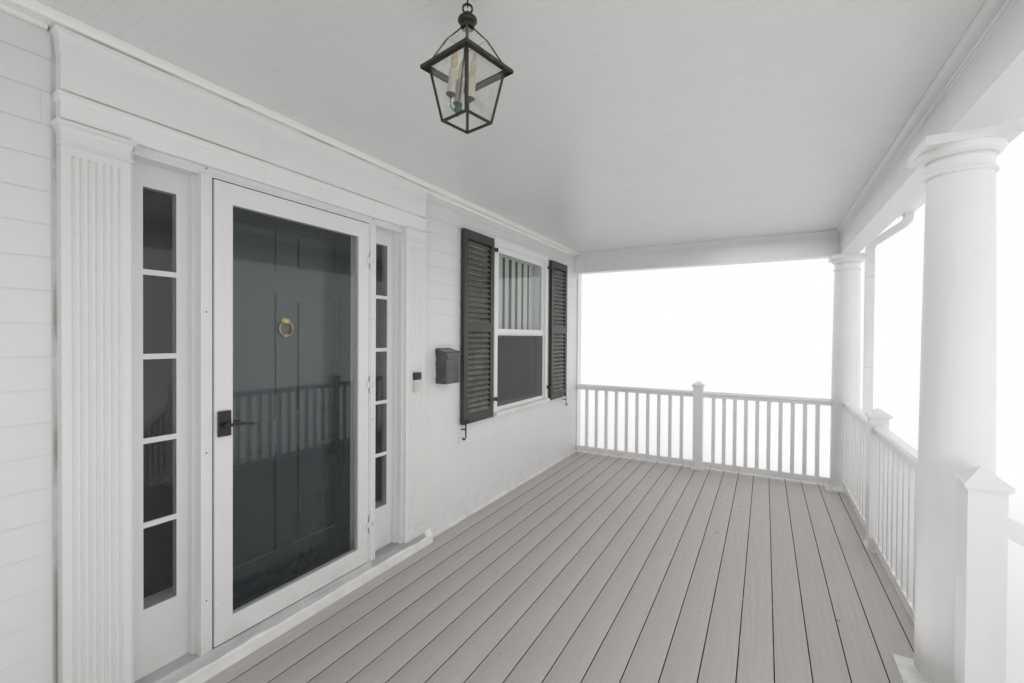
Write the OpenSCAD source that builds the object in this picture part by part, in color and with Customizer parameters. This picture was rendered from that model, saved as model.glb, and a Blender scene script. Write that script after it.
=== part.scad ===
// Front porch of a clapboard house: a raised deck with a stair, round columns,
// baluster railings and a flat ceiling, with the house wall it stands against.
// X runs along the wall, Y points into the house, Z is up, ground level is z = 0.
// The origin lies on the underside of the house foundation, below the middle of the door.

/* [Porch] */
// Height of the deck surface above the ground
deck_h = 600; // [500:10:700]
// Siding face to the line of the columns
reach = 2820; // [2600:10:3000]
// Middle of the door to a corner column
corner_x = 3970; // [3900:10:4200]
// Middle of the door to a column beside the stair
stair_col_x = 1020; // [1000:10:1060]
// Deck surface to the underside of the beams
beam_clear = 2300; // [2270:10:2350]
// Deck surface to the ceiling boards
ceiling_h = 2550; // [2530:10:2620]
// Width of the beams
beam_w = 140; // [130:5:180]

/* [Deck] */
// Thickness of the deck boards
board_t = 28; // [25:1:36]
// Column line to the front edge of the deck
deck_lip = 175; // [170:5:200]
// Height of the joists
joist_h = 190; // [170:10:220]
// Thickness of the joists
joist_t = 40; // [36:1:50]
// Number of bays between the joists
joist_bays = 18; // [14:1:22]
// Side of a pier
pier_w = 300; // [260:10:340]
// Thickness of the skirt panels
skirt_t = 22; // [18:1:30]

/* [Stair] */
// Number of risers
risers = 4; // [3:1:5]
// Depth of one step
run = 280; // [260:5:300]
// Thickness of a tread
tread_t = 32; // [28:1:38]
// How far a tread stands past its riser
nosing = 25; // [20:1:30]
// Thickness of a riser board
riser_t = 20; // [18:1:24]
// Thickness of a stringer
stringer_t = 45; // [40:1:50]

/* [Columns] */
// Diameter of a column shaft at its foot
col_d = 240; // [225:5:250]
// Diameter of a column shaft at its neck
neck_d = 206; // [190:2:216]
// Side of the base plate
plinth_w = 326; // [310:2:336]
// Thickness of the base plate
plinth_h = 10; // [8:1:16]
// Height of the flared foot over the base plate
flare_h = 58; // [50:1:70]
// Side of the abacus
abacus_w = 280; // [270:5:290]
// Height of the abacus
abacus_h = 36; // [30:1:45]

/* [Railing] */
// Deck surface to the top of the hand rail
rail_top = 882; // [860:2:910]
// Height of the hand rail
rail_h = 66; // [60:1:72]
// Width of the hand rail
rail_w = 74; // [66:1:84]
// Deck surface to the underside of the bottom rail
rail_gap = 32; // [25:1:50]
// Height of the bottom rail
foot_h = 60; // [50:1:70]
// Width of the bottom rail
foot_w = 48; // [42:1:56]
// Side of a baluster
baluster_w = 36; // [30:1:40]
// Balusters in one panel
balusters = 10; // [8:1:11]
// Side of a post
post_w = 102; // [98:1:112]
// Deck surface to the top of a post cap
post_h = 996; // [984:2:1010]
// Post cap past the post
cap_lip = 14; // [10:1:18]
// Side of a newel
newel_w = 105; // [100:1:116]
// Deck surface to the top of a newel cap
newel_h = 1018; // [1004:2:1030]
// Newel cap past the newel
newel_lip = 12; // [10:1:18]
// Column shaft to the newel beside it
newel_gap = 95; // [80:1:106]
// Clearance of a rail scribed to a round column
scribe = 0.3; // [0.2:0.1:0.6]

/* [House wall] */
// Thickness of the house wall
wall_t = 180; // [160:5:200]
// Corner column line to the end of the wall
wall_past = 90; // [80:5:200]
// Top of the wall above the top of the roof
wall_over = 60; // [40:5:100]
// Thickness of the foundation
foundation_t = 160; // [140:5:170]
// Width of a corner board
corner_board = 100; // [80:5:120]
// Thickness of casings and corner boards
trim_t = 20; // [16:1:24]

/* [Doorway] */
// Clear width between the door posts
door_w = 894; // [880:2:910]
// Top of the threshold above the deck
sill_h = 100; // [90:5:110]
// Deck surface to the underside of the door head
head_h = 2166; // [2150:2:2190]
// Thickness of the door head
head_t = 36; // [32:1:44]
// Width of the post between door and sidelight
mullion_w = 48; // [44:1:54]
// Width of a sidelight's glass
side_glass_w = 118; // [112:2:126]
// Width of the stiles beside a sidelight's glass
side_stile = 57; // [52:1:62]
// Deck surface to the foot of a sidelight's glass
side_glass_foot = 370; // [350:2:400]
// Width of the outer jamb
jamb_w = 18; // [16:1:24]
// How far the cornice stands off the pilasters
cornice_out = 26; // [20:1:30]
// Width of a pilaster
pilaster_w = 192; // [180:2:200]
// How far a pilaster stands off the wall
pilaster_t = 46; // [40:1:52]
// Flutes in a pilaster
flutes = 7; // [5:1:7]
// Radius of a flute
flute_r = 8; // [6:0.5:9]
// Gap round a door leaf
leaf_gap = 7; // [6:0.5:9]
// Thickness of the storm door
storm_t = 34; // [30:1:38]
// Width of the storm door's stiles
storm_stile = 78; // [72:1:84]
// Height of the storm door's top rail
storm_top = 92; // [84:1:100]
// Height of the storm door's foot rail
storm_foot = 103; // [94:1:112]
// Thickness of the entry door
entry_t = 45; // [40:1:50]
// Threshold to the middle of the door knocker
knocker_up = 1460; // [1400:5:1500]

/* [Windows] */
// Middle of the door to the middle of a window
window_x = 2470; // [2450:5:2520]
// Width of the hole in the wall
window_w = 1024; // [1000:2:1040]
// Deck surface to the top of the window sill
window_sill = 812; // [796:2:860]
// Deck surface to the head of the window
window_head = 2306; // [2290:2:2320]
// Width of the window casing
casing_w = 52; // [48:1:58]
// Meeting rail below the middle of the window
meet_drop = 24; // [0:1:40]
// Width of the sash bars round the glass
sash_w = 42; // [38:1:50]
// Thickness of a sash
sash_t = 34; // [30:1:38]
// Thickness of all panes
glass_t = 5; // [4:1:6]

/* [Shutters] */
// Width of a shutter
shutter_w = 444; // [420:2:460]
// Height of a shutter
shutter_h = 1560; // [1520:5:1580]
// Thickness of a shutter
shutter_t = 34; // [30:1:38]
// Width of a shutter's frame
shutter_stile = 52; // [46:1:58]
// Louvres in each half of a shutter
louvres = 15; // [12:1:16]
// Shutter off the siding
shutter_off = 12; // [10:1:16]
// Window casing to the shutter
shutter_gap = 54; // [46:1:60]

/* [Mailbox] */
// Middle of the door to the near end of the mailbox
mail_x = 1107; // [1100:1:1130]
// Deck surface to the foot of the mailbox
mail_foot = 1133; // [1100:1:1160]
// Width of the mailbox
mail_w = 165; // [155:1:180]
// Depth of the mailbox
mail_d = 100; // [90:1:110]
// Height of the mailbox at the wall
mail_h = 257; // [240:1:280]
// Fall of the mailbox lid from the wall to its front
mail_fall = 22; // [18:1:26]
// Height of the lid's front flap
mail_flap = 52; // [46:1:60]
// Sheet of the mailbox
mail_t = 3; // [2:0.5:4]

/* [Lantern] */
// Siding to the middle of the lantern
lantern_out = 1340; // [1320:5:1400]
// Deck surface to the foot of the lantern
lantern_clear = 2118; // [2080:2:2150]
// Side of the lantern at its foot
lantern_foot = 108; // [100:2:120]
// Side of the glazed body under the eave
lantern_top = 162; // [156:2:176]
// Side of the lantern's eave
lantern_eave = 196; // [190:2:206]
// Height of the glazed body
lantern_h = 159; // [150:1:170]
// Legs of the angle bars
lantern_bar = 8; // [7:0.5:10]
// Sheet of the angle bars
lantern_skin = 2.5; // [2:0.5:3]
// Eave to the break in the roof
roof_break_h = 82; // [76:1:88]
// Eave to the top of the roof
roof_top_h = 119; // [112:1:124]
// Turn of the lantern on its chain in degrees
lantern_turn = -11; // [-14:1:4]
// Lean of the bent candle cluster in degrees
candle_lean = 6; // [0:1:7]

/* [Roof] */
// Slope of the roof in degrees
roof_pitch = 12; // [10:1:14]
// Thickness of the roof
roof_t = 110; // [100:5:140]
// Front beam to the eave
eave = 360; // [340:5:390]
// Overhang of the roof at each end
roof_side = 260; // [220:10:300]
// Height of the fascia board
fascia_h = 150; // [140:5:170]
// Width of the gutter
gutter_w = 120; // [110:5:130]
// Height of the gutter
gutter_h = 112; // [105:1:125]
// Sheet of the gutter
gutter_t = 3; // [2:0.5:4]
// Bend of the downspout's elbows in degrees
spout_turn = 55; // [50:1:60]
// Reach of the downspout's toe past its pipe
spout_toe = 162; // [140:2:200]

/* [Hidden] */

eps = 1;
seat = 0.05;
siding_y = -wall_t / 2 - 10;
wall_back = siding_y + wall_t;
wall_end = corner_x + wall_past;
col_y = siding_y - reach;
deck_front = col_y - deck_lip;
deck_end = corner_x + deck_lip;
beam_z = deck_h + beam_clear;
ceiling_z = deck_h + ceiling_h;
ceiling_t = 20;
eave_lift = 180;
beam_front = col_y - beam_w / 2;
beam_back = col_y + beam_w / 2;
beam_out = corner_x + beam_w / 2;
beam_in = corner_x - beam_w / 2;
eave_y = beam_front - eave;
eave_z = ceiling_z + eave_lift;
roof_end = beam_out + roof_side;
wall_top = roof_z(siding_y) + roof_t + wall_over;
mid_x = (stair_col_x + corner_x) / 2;
end_mid_y = (siding_y + col_y - col_d / 2) / 2;
joist_top = deck_h - board_t;
joist_foot = joist_top - joist_h;
col_h = beam_clear;

newel_x = stair_col_x - col_d / 2 - newel_gap - newel_w / 2;
stair_half = newel_x - newel_w / 2;
rise = deck_h / risers;
stair_slope = rise / run;
low_newel_y = deck_front - (risers - 1) * run + newel_w / 2 + 10;
low_newel_top = newel_h + stair_rail_z(low_newel_y) - stair_rail_z(col_y - newel_w / 2);
post_peak = 38.5;
newel_peak = 52;

door_half = door_w / 2;
side_in = door_half + mullion_w;
side_out = side_in + side_glass_w + 2 * side_stile;
frame_half = side_out + jamb_w;
frame_front = siding_y - trim_t;
sill_z = deck_h + sill_h;
head_z = deck_h + head_h;
pilaster_x = frame_half + pilaster_w / 2;
pilaster_top = head_z + head_t;
storm_front = frame_front - 5;
entry_back = wall_back;
entry_front = wall_back - entry_t;
side_glass_y = -40;
side_glass_top = head_z - 93;
panes = 5;
pane_h = (side_glass_top - deck_h - side_glass_foot) / panes;

pin_r = 4;
pin_gap = 0.3;
knuckle_r = 7;
knuckle_h = 34;
storm_hinge_x = door_half + 3;
storm_hinge_y = storm_front - 9;
entry_hinge_x = door_half + 3;
entry_hinge_y = wall_back + 9;

win_z0 = deck_h + window_sill;
win_z1 = deck_h + window_head;
win_mid = (win_z0 + win_z1) / 2 - meet_drop;
window_reveal = 14;
shutter_z0 = (win_z0 + win_z1 - shutter_h) / 2;
shutter_x = window_w / 2 + casing_w + shutter_gap + shutter_w / 2;
shutter_back = siding_y - shutter_off;
shutter_front = shutter_back - shutter_t;

mail_z = deck_h + mail_foot;
mail_front = siding_y - mail_d;
mail_pin_y = siding_y - 8;
mail_pin_z = mail_z + mail_h;
mail_bend = 10;
ear_w = 10;
mail_ears = [mail_x + 12, mail_x + mail_w - 12 - ear_w];

lantern_x = -413;
lantern_y = siding_y - lantern_out;
lantern_z = deck_h + lantern_clear;
lantern_cap = lantern_h + 5 + roof_top_h;
ball_up = 20;
ball_r = 29;
ball_half = 15;
neck_r = 5;
hook_z = ceiling_z - 42;

spout_w = 76;
spout_d = 70;
spout_x = deck_end + 8 + spout_w / 2;
spout_y = deck_front - spout_d / 2;
gutter_z1 = eave_z + roof_t - 26;
gutter_z0 = gutter_z1 - gutter_h;
gutter_back = eave_y - trim_t;

// Underside of the roof at a distance y from the wall's middle
function roof_z(y) = eave_z + (y - eave_y) * tan(roof_pitch);
// Height of the stair rail's top above the deck at y
function stair_rail_z(y) = rail_top - 27 + (y - col_y + newel_w / 2) * stair_slope;
// Radius of a column shaft between its foot and its neck, with a slight swell
function shaft_r(t) = col_d / 2 - (col_d - neck_d) / 2 * pow(t, 1.8);

// A straight block between two corners
module block(x0, x1, y0, y1, z0, z1) {
    translate([x0, y0, z0]) cube([x1 - x0, y1 - y0, z1 - z0]);
}

// A block and its mirror image across the middle of the porch
module pair() {
    children();
    mirror([1, 0, 0]) children();
}

// A profile drawn as (y, z), drawn out along x
module along_x(x0, x1) {
    translate([x0, 0, 0]) rotate([90, 0, 90]) linear_extrude(x1 - x0) children();
}

// A profile drawn as (x, z), drawn out along y
module along_y(y0, y1) {
    translate([0, y1, 0]) rotate([90, 0, 0]) linear_extrude(y1 - y0) children();
}

module house_foundation() {
    color("darkgray") block(-wall_end, wall_end, -foundation_t / 2, foundation_t / 2, 0, deck_h);
}

module porch_piers() {
    front_y = deck_front + nosing + skirt_t + 2;
    end_x = deck_end - skirt_t - 2 - pier_w;
    color("gray") pair() {
        for (x = [stair_col_x - pier_w / 2, end_x])
            block(x, x + pier_w, front_y, front_y + pier_w, 0, joist_foot);
        block(end_x, end_x + pier_w, end_mid_y - pier_w / 2, end_mid_y + pier_w / 2, 0, joist_foot);
    }
}

joist_end = deck_end - skirt_t;
joist_front = deck_front + skirt_t + nosing;
joist_back = -foundation_t / 2;

module deck_frame() {
    color("burlywood") difference() {
        block(-joist_end, joist_end, joist_front, joist_back, joist_foot, joist_top);
        block(-joist_end + joist_t, joist_end - joist_t, joist_front + joist_t, joist_back - joist_t,
            joist_foot - eps, joist_top + eps);
    }
}

module deck_joists() {
    bay = (2 * joist_end - joist_t) / joist_bays;
    color("burlywood")
        for (i = [1 : joist_bays - 1])
            block(-joist_end + i * bay, -joist_end + i * bay + joist_t,
                joist_front + joist_t, joist_back - joist_t, joist_foot, joist_top);
}

module deck_floor() {
    color("rosybrown") block(-deck_end, deck_end, deck_front, -foundation_t / 2, joist_top, deck_h);
}

module deck_skirt() {
    skirt_front = deck_front + nosing;
    skirt_end = deck_end;
    color("white") pair() {
        block(skirt_end - skirt_t, skirt_end, skirt_front, -foundation_t / 2, 30, joist_top);
        block(stair_half + 2, skirt_end - skirt_t - 1, skirt_front, skirt_front + skirt_t, 30, joist_top);
    }
}

module stair_stringers() {
    foot_y = deck_front - (risers - 1) * run + nosing + riser_t;
    step = [for (i = [0 : risers - 2]) each [
        [foot_y + i * run, (i == 0) ? 0 : i * rise - tread_t],
        [foot_y + i * run, (i + 1) * rise - tread_t]]];
    back_y = deck_front + nosing + riser_t;
    side = concat(step, [[back_y, (risers - 1) * rise - tread_t], [back_y, rise * 1.2], [foot_y + 2.2 * run, 0]]);
    color("white")
        for (x = [-stair_half, -stringer_t / 2, stair_half - stringer_t])
            along_x(x, x + stringer_t) polygon(side);
}

module stair_risers() {
    color("white")
        for (i = [0 : risers - 1]) {
            face_y = deck_front - (risers - 1 - i) * run + nosing;
            foot_z = (i == 0) ? 0 : i * rise;
            top_z = (i == risers - 1) ? joist_top : (i + 1) * rise - tread_t;
            block(-stair_half, stair_half, face_y, face_y + riser_t, foot_z, top_z);
        }
}

module stair_treads() {
    color("rosybrown")
        for (i = [1 : risers - 1]) {
            edge_y = deck_front - (risers - i) * run;
            block(-stair_half, stair_half, edge_y, edge_y + run + nosing, i * rise - tread_t, i * rise);
        }
}

// Outline of the hand rail across its length: flat below, eased on top
module rail_section() {
    ease = rail_w / 6;
    polygon([[-rail_w / 2 + 12, 0], [rail_w / 2 - 12, 0], [rail_w / 2 - 12, rail_h * 0.42],
        [rail_w / 2, rail_h * 0.55], [rail_w / 2, rail_h * 0.8], [rail_w / 2 - ease, rail_h],
        [-rail_w / 2 + ease, rail_h], [-rail_w / 2, rail_h * 0.8], [-rail_w / 2, rail_h * 0.55],
        [-rail_w / 2 + 12, rail_h * 0.42]]);
}

// A panel of railing from x0 to x1 along the x axis, its balusters spread from b0 to b1
module rail_panel(x0, x1, b0, b1) {
    pitch = (b1 - b0) / (balusters + 1);
    translate([0, 0, deck_h + rail_top - rail_h]) along_x(x0, x1) rail_section();
    block(x0, x1, -foot_w / 2, foot_w / 2, deck_h + rail_gap, deck_h + rail_gap + foot_h);
    for (i = [1 : balusters])
        translate([b0 + i * pitch - baluster_w / 2, -baluster_w / 2, deck_h + rail_gap + foot_h - eps])
            cube([baluster_w, baluster_w, rail_top - rail_h - rail_gap - foot_h + 2 * eps]);
}

// The two panels of the front railing on the right, scribed to the columns
module front_panels() {
    post = post_w / 2;
    difference() {
        translate([0, col_y, 0]) {
            rail_panel(stair_col_x, mid_x - post, stair_col_x + col_d / 2, mid_x - post);
            rail_panel(mid_x + post, corner_x, mid_x + post, corner_x - col_d / 2);
        }
        for (x = [stair_col_x, corner_x])
            translate([x, col_y, deck_h]) column(scribe);
    }
}

// The two panels of the end railing on the right, the front one scribed to its column
module end_panels() {
    post = post_w / 2;
    difference() {
        translate([corner_x, 0, 0]) rotate([0, 0, 90]) {
            rail_panel(col_y, end_mid_y - post, col_y + col_d / 2, end_mid_y - post);
            rail_panel(end_mid_y + post, siding_y - trim_t, end_mid_y + post, siding_y - trim_t);
        }
        translate([corner_x, col_y, deck_h]) column(scribe);
    }
}

module railing_front_right() { color("white") front_panels(); }
module railing_front_left() { color("white") mirror([1, 0, 0]) front_panels(); }
module railing_end_right() { color("white") end_panels(); }
module railing_end_left() { color("white") mirror([1, 0, 0]) end_panels(); }

// A square post from z0 up, with a pointed cap
module post(side, lip, peak, z0, height) {
    half = side / 2;
    cap = half + lip;
    edge = 10 + lip * 0.6;
    translate([0, 0, z0]) {
        block(-half, half, -half, half, 0, height - peak - edge / 2);
        block(-half - 5, half + 5, -half - 5, half + 5, height - peak - edge - 8, height - peak - edge + 1);
        block(-cap, cap, -cap, cap, height - peak - edge, height - peak + 0.5);
        translate([0, 0, height - peak])
            rotate([0, 0, 45]) cylinder(h = peak, r1 = (cap - 4) * sqrt(2), r2 = 8, $fn = 4);
    }
}

// The collar round a post's foot on the deck, lower than the bottom rail
module post_collar(side) {
    cap = side / 2 + cap_lip;
    block(-cap, cap, -cap, cap, deck_h, deck_h + rail_gap * 0.6);
    block(-cap + 6, cap - 6, -cap + 6, cap - 6, deck_h, deck_h + rail_gap - 2);
}

module deck_post() {
    post(post_w, cap_lip, post_peak, deck_h, post_h);
    post_collar(post_w);
}

module rail_posts() {
    color("white") pair() {
        translate([mid_x, col_y, 0]) deck_post();
        translate([corner_x, end_mid_y, 0]) deck_post();
        translate([newel_x, col_y, 0]) {
            post(newel_w, newel_lip, newel_peak, deck_h, newel_h);
            post_collar(newel_w);
        }
        translate([newel_x, low_newel_y, 0]) post(newel_w, newel_lip, newel_peak, 0, deck_h + low_newel_top);
    }
}

// The railing beside the stair, on the right: two sloping rails and upright balusters
module stair_panel() {
    y0 = low_newel_y + newel_w / 2;
    y1 = col_y - newel_w / 2;
    count = 6;
    pitch = (y1 - y0) / (count + 1);
    drop = (y1 - y0) * stair_slope;
    foot_top = rail_gap + foot_h + 110;
    translate([newel_x, 0, 0]) {
        translate([-rail_w / 2 + 10, 0, 0]) along_x(0, rail_w - 20)
            sloped_bar(y0, y1, stair_rail_z(y1) - rail_h * 1.1, rail_h * 1.1);
        translate([-foot_w / 2, 0, 0]) along_x(0, foot_w)
            sloped_bar(y0, y1, foot_top - foot_h, foot_h);
        for (i = [1 : count])
            translate([-baluster_w / 2, 0, 0]) along_x(0, baluster_w)
                sloped_bar(y0 + i * pitch - baluster_w / 2, y0 + i * pitch + baluster_w / 2,
                    foot_top - eps - (y1 - y0 - i * pitch - baluster_w / 2) * stair_slope,
                    stair_rail_z(y1) - rail_h * 1.1 - foot_top + 2 * eps);
    }
}

// Outline of a bar that rises with the stair from y0 to y1, where its underside is at z1 over the deck
module sloped_bar(y0, y1, z1, h) {
    fall = (y1 - y0) * stair_slope;
    translate([0, deck_h]) polygon([[y0, z1 - fall], [y1, z1], [y1, z1 + h], [y0, z1 - fall + h]]);
}

module stair_railings() { color("white") pair() stair_panel(); }

// Outline of half a column, grown by g where another piece is scribed to it
module column_outline(g) {
    neck_z = col_h - abacus_h - 110;
    foot_z = plinth_h + flare_h;
    flare_r = plinth_w / 2 - 4 - col_d / 2;
    steps = 10;
    shaft = [for (i = [0 : steps]) [shaft_r(i / steps) + g, foot_z + (neck_z - foot_z) * i / steps]];
    flare = [for (a = [0 : 15 : 75])
        [col_d / 2 + 3 + (flare_r - 3) * (1 - sin(a)) + g, plinth_h + 6 + (flare_h - 9) * (1 - cos(a))]];
    astragal = [for (a = [-90 : 45 : 90]) [neck_d / 2 + 2 + g + 9 * cos(a), neck_z + 9 + 9 * sin(a)]];
    echinus = [for (a = [-90 : 22.5 : 0])
        [neck_d / 2 + g + 32 * cos(a), col_h - abacus_h + 40 * sin(a)]];
    polygon(concat([[0, plinth_h - eps], [col_d / 2 + flare_r + g, plinth_h - eps]], flare,
        [[col_d / 2 + 3 + g, foot_z - 3], [col_d / 2 - 1 + g, foot_z - 2]], shaft, astragal,
        [[neck_d / 2 + g, neck_z + 22], [neck_d / 2 + g, col_h - abacus_h - 48],
        [neck_d / 2 + 5 + g, col_h - abacus_h - 46]], echinus, [[0, col_h - abacus_h]]));
}

// A round column from the deck to the beam, grown by g
module column(g) {
    half = plinth_w / 2 + g;
    cap = abacus_w / 2 + g;
    rotate_extrude($fn = 64) column_outline(g);
    block(-half, half, -half, half, 0, plinth_h);
    block(-cap, cap, -cap, cap, col_h - abacus_h - eps / 2, col_h);
}

module columns_corner() {
    color("white") pair() translate([corner_x, col_y, deck_h]) column(0);
}

module columns_stair() {
    color("white") pair() translate([stair_col_x, col_y, deck_h]) column(0);
}

module front_beam() {
    color("white") along_x(-beam_out, beam_out)
        polygon([[beam_front, beam_z], [beam_back, beam_z], [beam_back, roof_z(beam_back) - seat],
            [beam_front, roof_z(beam_front) - seat]]);
}

module end_beam() {
    block(beam_in, beam_out, beam_back, siding_y, beam_z, ceiling_z + ceiling_t);
}

module end_beam_right() { color("white") end_beam(); }
module end_beam_left() { color("white") mirror([1, 0, 0]) end_beam(); }

module ceiling_boards() {
    color("gainsboro") block(-beam_in, beam_in, beam_back, siding_y, ceiling_z, ceiling_z + ceiling_t);
}

// Outline of a crown moulding in a corner: out along the ceiling and down the wall
module crown_section(out, down) {
    cove = [for (a = [0 : 15 : 90]) [out * (0.85 - 0.55 * sin(a)), -down * (0.2 + 0.5 * (1 - cos(a)))]];
    polygon(concat([[0, 0], [out, 0], [out, -down * 0.12]], cove,
        [[out * 0.3, -down * 0.76], [out * 0.22, -down * 0.8], [out * 0.22, -down], [0, -down]]));
}

beam_crown = [34, 80];
wall_crown = [26, 34];

module ceiling_crown() {
    cornice = frame_half + pilaster_w + cornice_out;
    color("white") {
        translate([0, beam_back, ceiling_z]) along_x(-beam_in, beam_in) crown_section(beam_crown[0], beam_crown[1]);
        pair() {
            translate([0, siding_y, ceiling_z]) mirror([0, 1, 0]) along_x(cornice, beam_in)
                crown_section(wall_crown[0], wall_crown[1]);
            translate([beam_in, 0, ceiling_z]) mirror([1, 0, 0]) along_y(beam_back, siding_y)
                crown_section(beam_crown[0], beam_crown[1]);
        }
    }
}

module roof_slab() {
    color("dimgray") along_x(-roof_end, roof_end)
        polygon([[eave_y, roof_z(eave_y)], [siding_y, roof_z(siding_y)],
            [siding_y, roof_z(siding_y) + roof_t], [eave_y, roof_z(eave_y) + roof_t]]);
}

module roof_ends() {
    panel_t = 40;
    color("white") pair() along_x(beam_out - panel_t, beam_out)
        polygon([[beam_back, ceiling_z + ceiling_t], [siding_y, ceiling_z + ceiling_t],
            [siding_y, roof_z(siding_y) - seat], [beam_back, roof_z(beam_back) - seat]]);
}

module fascia() {
    color("white") block(-roof_end, roof_end, eave_y - trim_t, eave_y,
        eave_z + roof_t - fascia_h, eave_z + roof_t - 4);
}

// Outline of the gutter's outer skin: flat back, sloping front with a rolled lip
module gutter_outline(inset) {
    b = gutter_back - inset;
    f = gutter_back - gutter_w + inset;
    polygon([[b, gutter_z0 + inset], [f + gutter_w * 0.28, gutter_z0 + inset],
        [f + gutter_w * 0.1, gutter_z0 + gutter_h * 0.52], [f, gutter_z0 + gutter_h * 0.75],
        [f, gutter_z1 + inset * 3], [b, gutter_z1 + inset * 3]]);
}

module gutter() {
    color("white") {
        difference() {
            along_x(-roof_end, roof_end) gutter_outline(0);
            along_x(-roof_end + gutter_t, roof_end - gutter_t) gutter_outline(gutter_t);
        }
    }
}

spout_r = 100;
spout_top = [gutter_back - gutter_w / 2 + 6, gutter_z0 - 20];
spout_slant = (spout_y - spout_top[0] - 2 * spout_r * (1 - cos(spout_turn))) / tan(spout_turn);
spout_low = [spout_y, spout_top[1] - 2 * spout_r * sin(spout_turn) - spout_slant];

// The downspout's line through its two elbows from the gutter down, moved sideways by s
function spout_bend(s) = concat(
    [for (t = [0 : 5]) let (a = t * spout_turn / 5)
        spout_top + [spout_r - (spout_r - s) * cos(a), -(spout_r - s) * sin(a)]],
    [for (t = [5 : -1 : 0]) let (a = t * spout_turn / 5)
        spout_low + [-spout_r + (spout_r + s) * cos(a), (spout_r + s) * sin(a)]]);

module downspout() {
    d = spout_d / 2;
    toe_y = spout_y - d - spout_toe;
    toe_z = 10;
    back = spout_bend(d);
    front = spout_bend(-d);
    color("white") along_x(spout_x - spout_w / 2, spout_x + spout_w / 2)
        polygon(concat([[spout_top[0] - d, gutter_z0], [spout_top[0] + d, gutter_z0]], back,
            [[spout_y + d, toe_z + spout_d * 2.5], [spout_y - d / 3, toe_z + spout_d], [toe_y, toe_z],
                [toe_y, toe_z + spout_d], [spout_y - d, toe_z + spout_d * 3]],
            [for (i = [len(front) - 1 : -1 : 0]) front[i]]));
}

// The house wall right of the doorway, with its window cut through
module side_wall() {
    difference() {
        block(frame_half, wall_end, siding_y, wall_back, deck_h, wall_top);
        block(window_x - window_w / 2, window_x + window_w / 2, siding_y - eps, wall_back + eps, win_z0, win_z1);
    }
}

module wall_right() { color("whitesmoke") side_wall(); }
module wall_left() { color("whitesmoke") mirror([1, 0, 0]) side_wall(); }

module wall_over_door() {
    color("whitesmoke") block(-frame_half, frame_half, siding_y, wall_back, head_z + head_t, wall_top);
}

module corner_boards() {
    color("white") pair() {
        block(wall_end - corner_board, wall_end + trim_t, siding_y - trim_t, siding_y, deck_h, beam_z);
        block(beam_out, wall_end + trim_t, siding_y - trim_t, siding_y, beam_z, roof_z(siding_y - trim_t) - seat);
        block(wall_end, wall_end + trim_t, siding_y, wall_back, deck_h, wall_top);
    }
}

module threshold() {
    past = 90;
    end = frame_half + pilaster_w + past;
    nose = siding_y - pilaster_t - 4;
    color("white") {
        block(-frame_half, frame_half, siding_y - eps, wall_back, deck_h, sill_z);
        along_x(-end, end)
            polygon([[nose, deck_h], [nose, sill_z - 46], [nose + 4, sill_z - 40], [nose + 24, sill_z - 4],
                [nose + 28, sill_z], [siding_y, sill_z], [siding_y, deck_h]]);
    }
}

// One door post and sidelight frame on the right of the doorway
module sidelight_frame() {
    stop_t = 12;
    glass_foot = deck_h + side_glass_foot;
    bar = 22;
    sash_y0 = side_glass_y - 10;
    sash_y1 = side_glass_y + 25;
    block(door_half, side_in, frame_front, wall_back, sill_z, head_z);
    block(side_out, frame_half, frame_front, wall_back, sill_z, head_z);
    for (x = [side_in - eps, side_out - side_stile])
        block(x, x + side_stile + eps, sash_y0, sash_y1, sill_z, head_z);
    for (x = [side_in - eps, side_out - stop_t])
        block(x, x + stop_t + eps, sash_y0 - 30, sash_y0 + eps, sill_z, head_z);
    block(side_in - eps, side_out + eps, sash_y0, wall_back - 30, sill_z, glass_foot);
    block(side_in - eps, side_out + eps, sash_y0, sash_y1, side_glass_top, head_z);
    block(door_half + 36, side_in, frame_front - 7, frame_front + eps, sill_z, head_z);
    block(door_half + 14, door_half + 37, frame_front - 4, frame_front + eps, sill_z, head_z);
    block(door_half - stop_t, door_half + eps, entry_front - 30, entry_front - 5, sill_z, head_z);
    for (i = [1 : panes - 1])
        block(side_in + side_stile - eps, side_out - side_stile + eps, sash_y0, side_glass_y - glass_t / 2,
            glass_foot + i * pane_h - bar / 2, glass_foot + i * pane_h + bar / 2);
}

// The fixed half of a hinge: a pin between two knuckles, held by a plate
module hinge_fixed(x, y, z, plate_x, plate_y) {
    translate([x, y, z]) {
        cylinder(h = 3 * knuckle_h, r = pin_r, $fn = 32);
        for (k = [0, 2])
            translate([0, 0, k * knuckle_h]) {
                cylinder(h = knuckle_h, r = knuckle_r, $fn = 32);
                block(0, plate_x, min(0, plate_y), max(0, plate_y), 0, knuckle_h);
            }
    }
}

// The moving half of a hinge: one bored knuckle on a plate
module hinge_moving(x, y, z, plate_x, plate_y) {
    translate([x, y, z + knuckle_h + pin_gap])
        difference() {
            union() {
                cylinder(h = knuckle_h - 2 * pin_gap, r = knuckle_r, $fn = 32);
                block(plate_x, 0, min(0, plate_y), max(0, plate_y), 0, knuckle_h - 2 * pin_gap);
            }
            translate([0, 0, -eps]) cylinder(h = knuckle_h + eps, r = pin_r + pin_gap, $fn = 32);
        }
}

hinge_heights = [sill_z + 180, (sill_z + head_z) / 2, head_z - 280];

module door_frame() {
    color("white") {
        pair() sidelight_frame();
        block(-frame_half, frame_half, frame_front, wall_back, head_z, head_z + head_t);
        block(-frame_half + 16, frame_half - 16, frame_front - 6, frame_front + eps, head_z + 8, head_z + 16);
        for (z = hinge_heights) {
            hinge_fixed(storm_hinge_x, storm_hinge_y, z, 26, frame_front - storm_hinge_y);
            hinge_fixed(entry_hinge_x, entry_hinge_y, z, 26, wall_back - entry_hinge_y);
        }
    }
}

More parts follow.
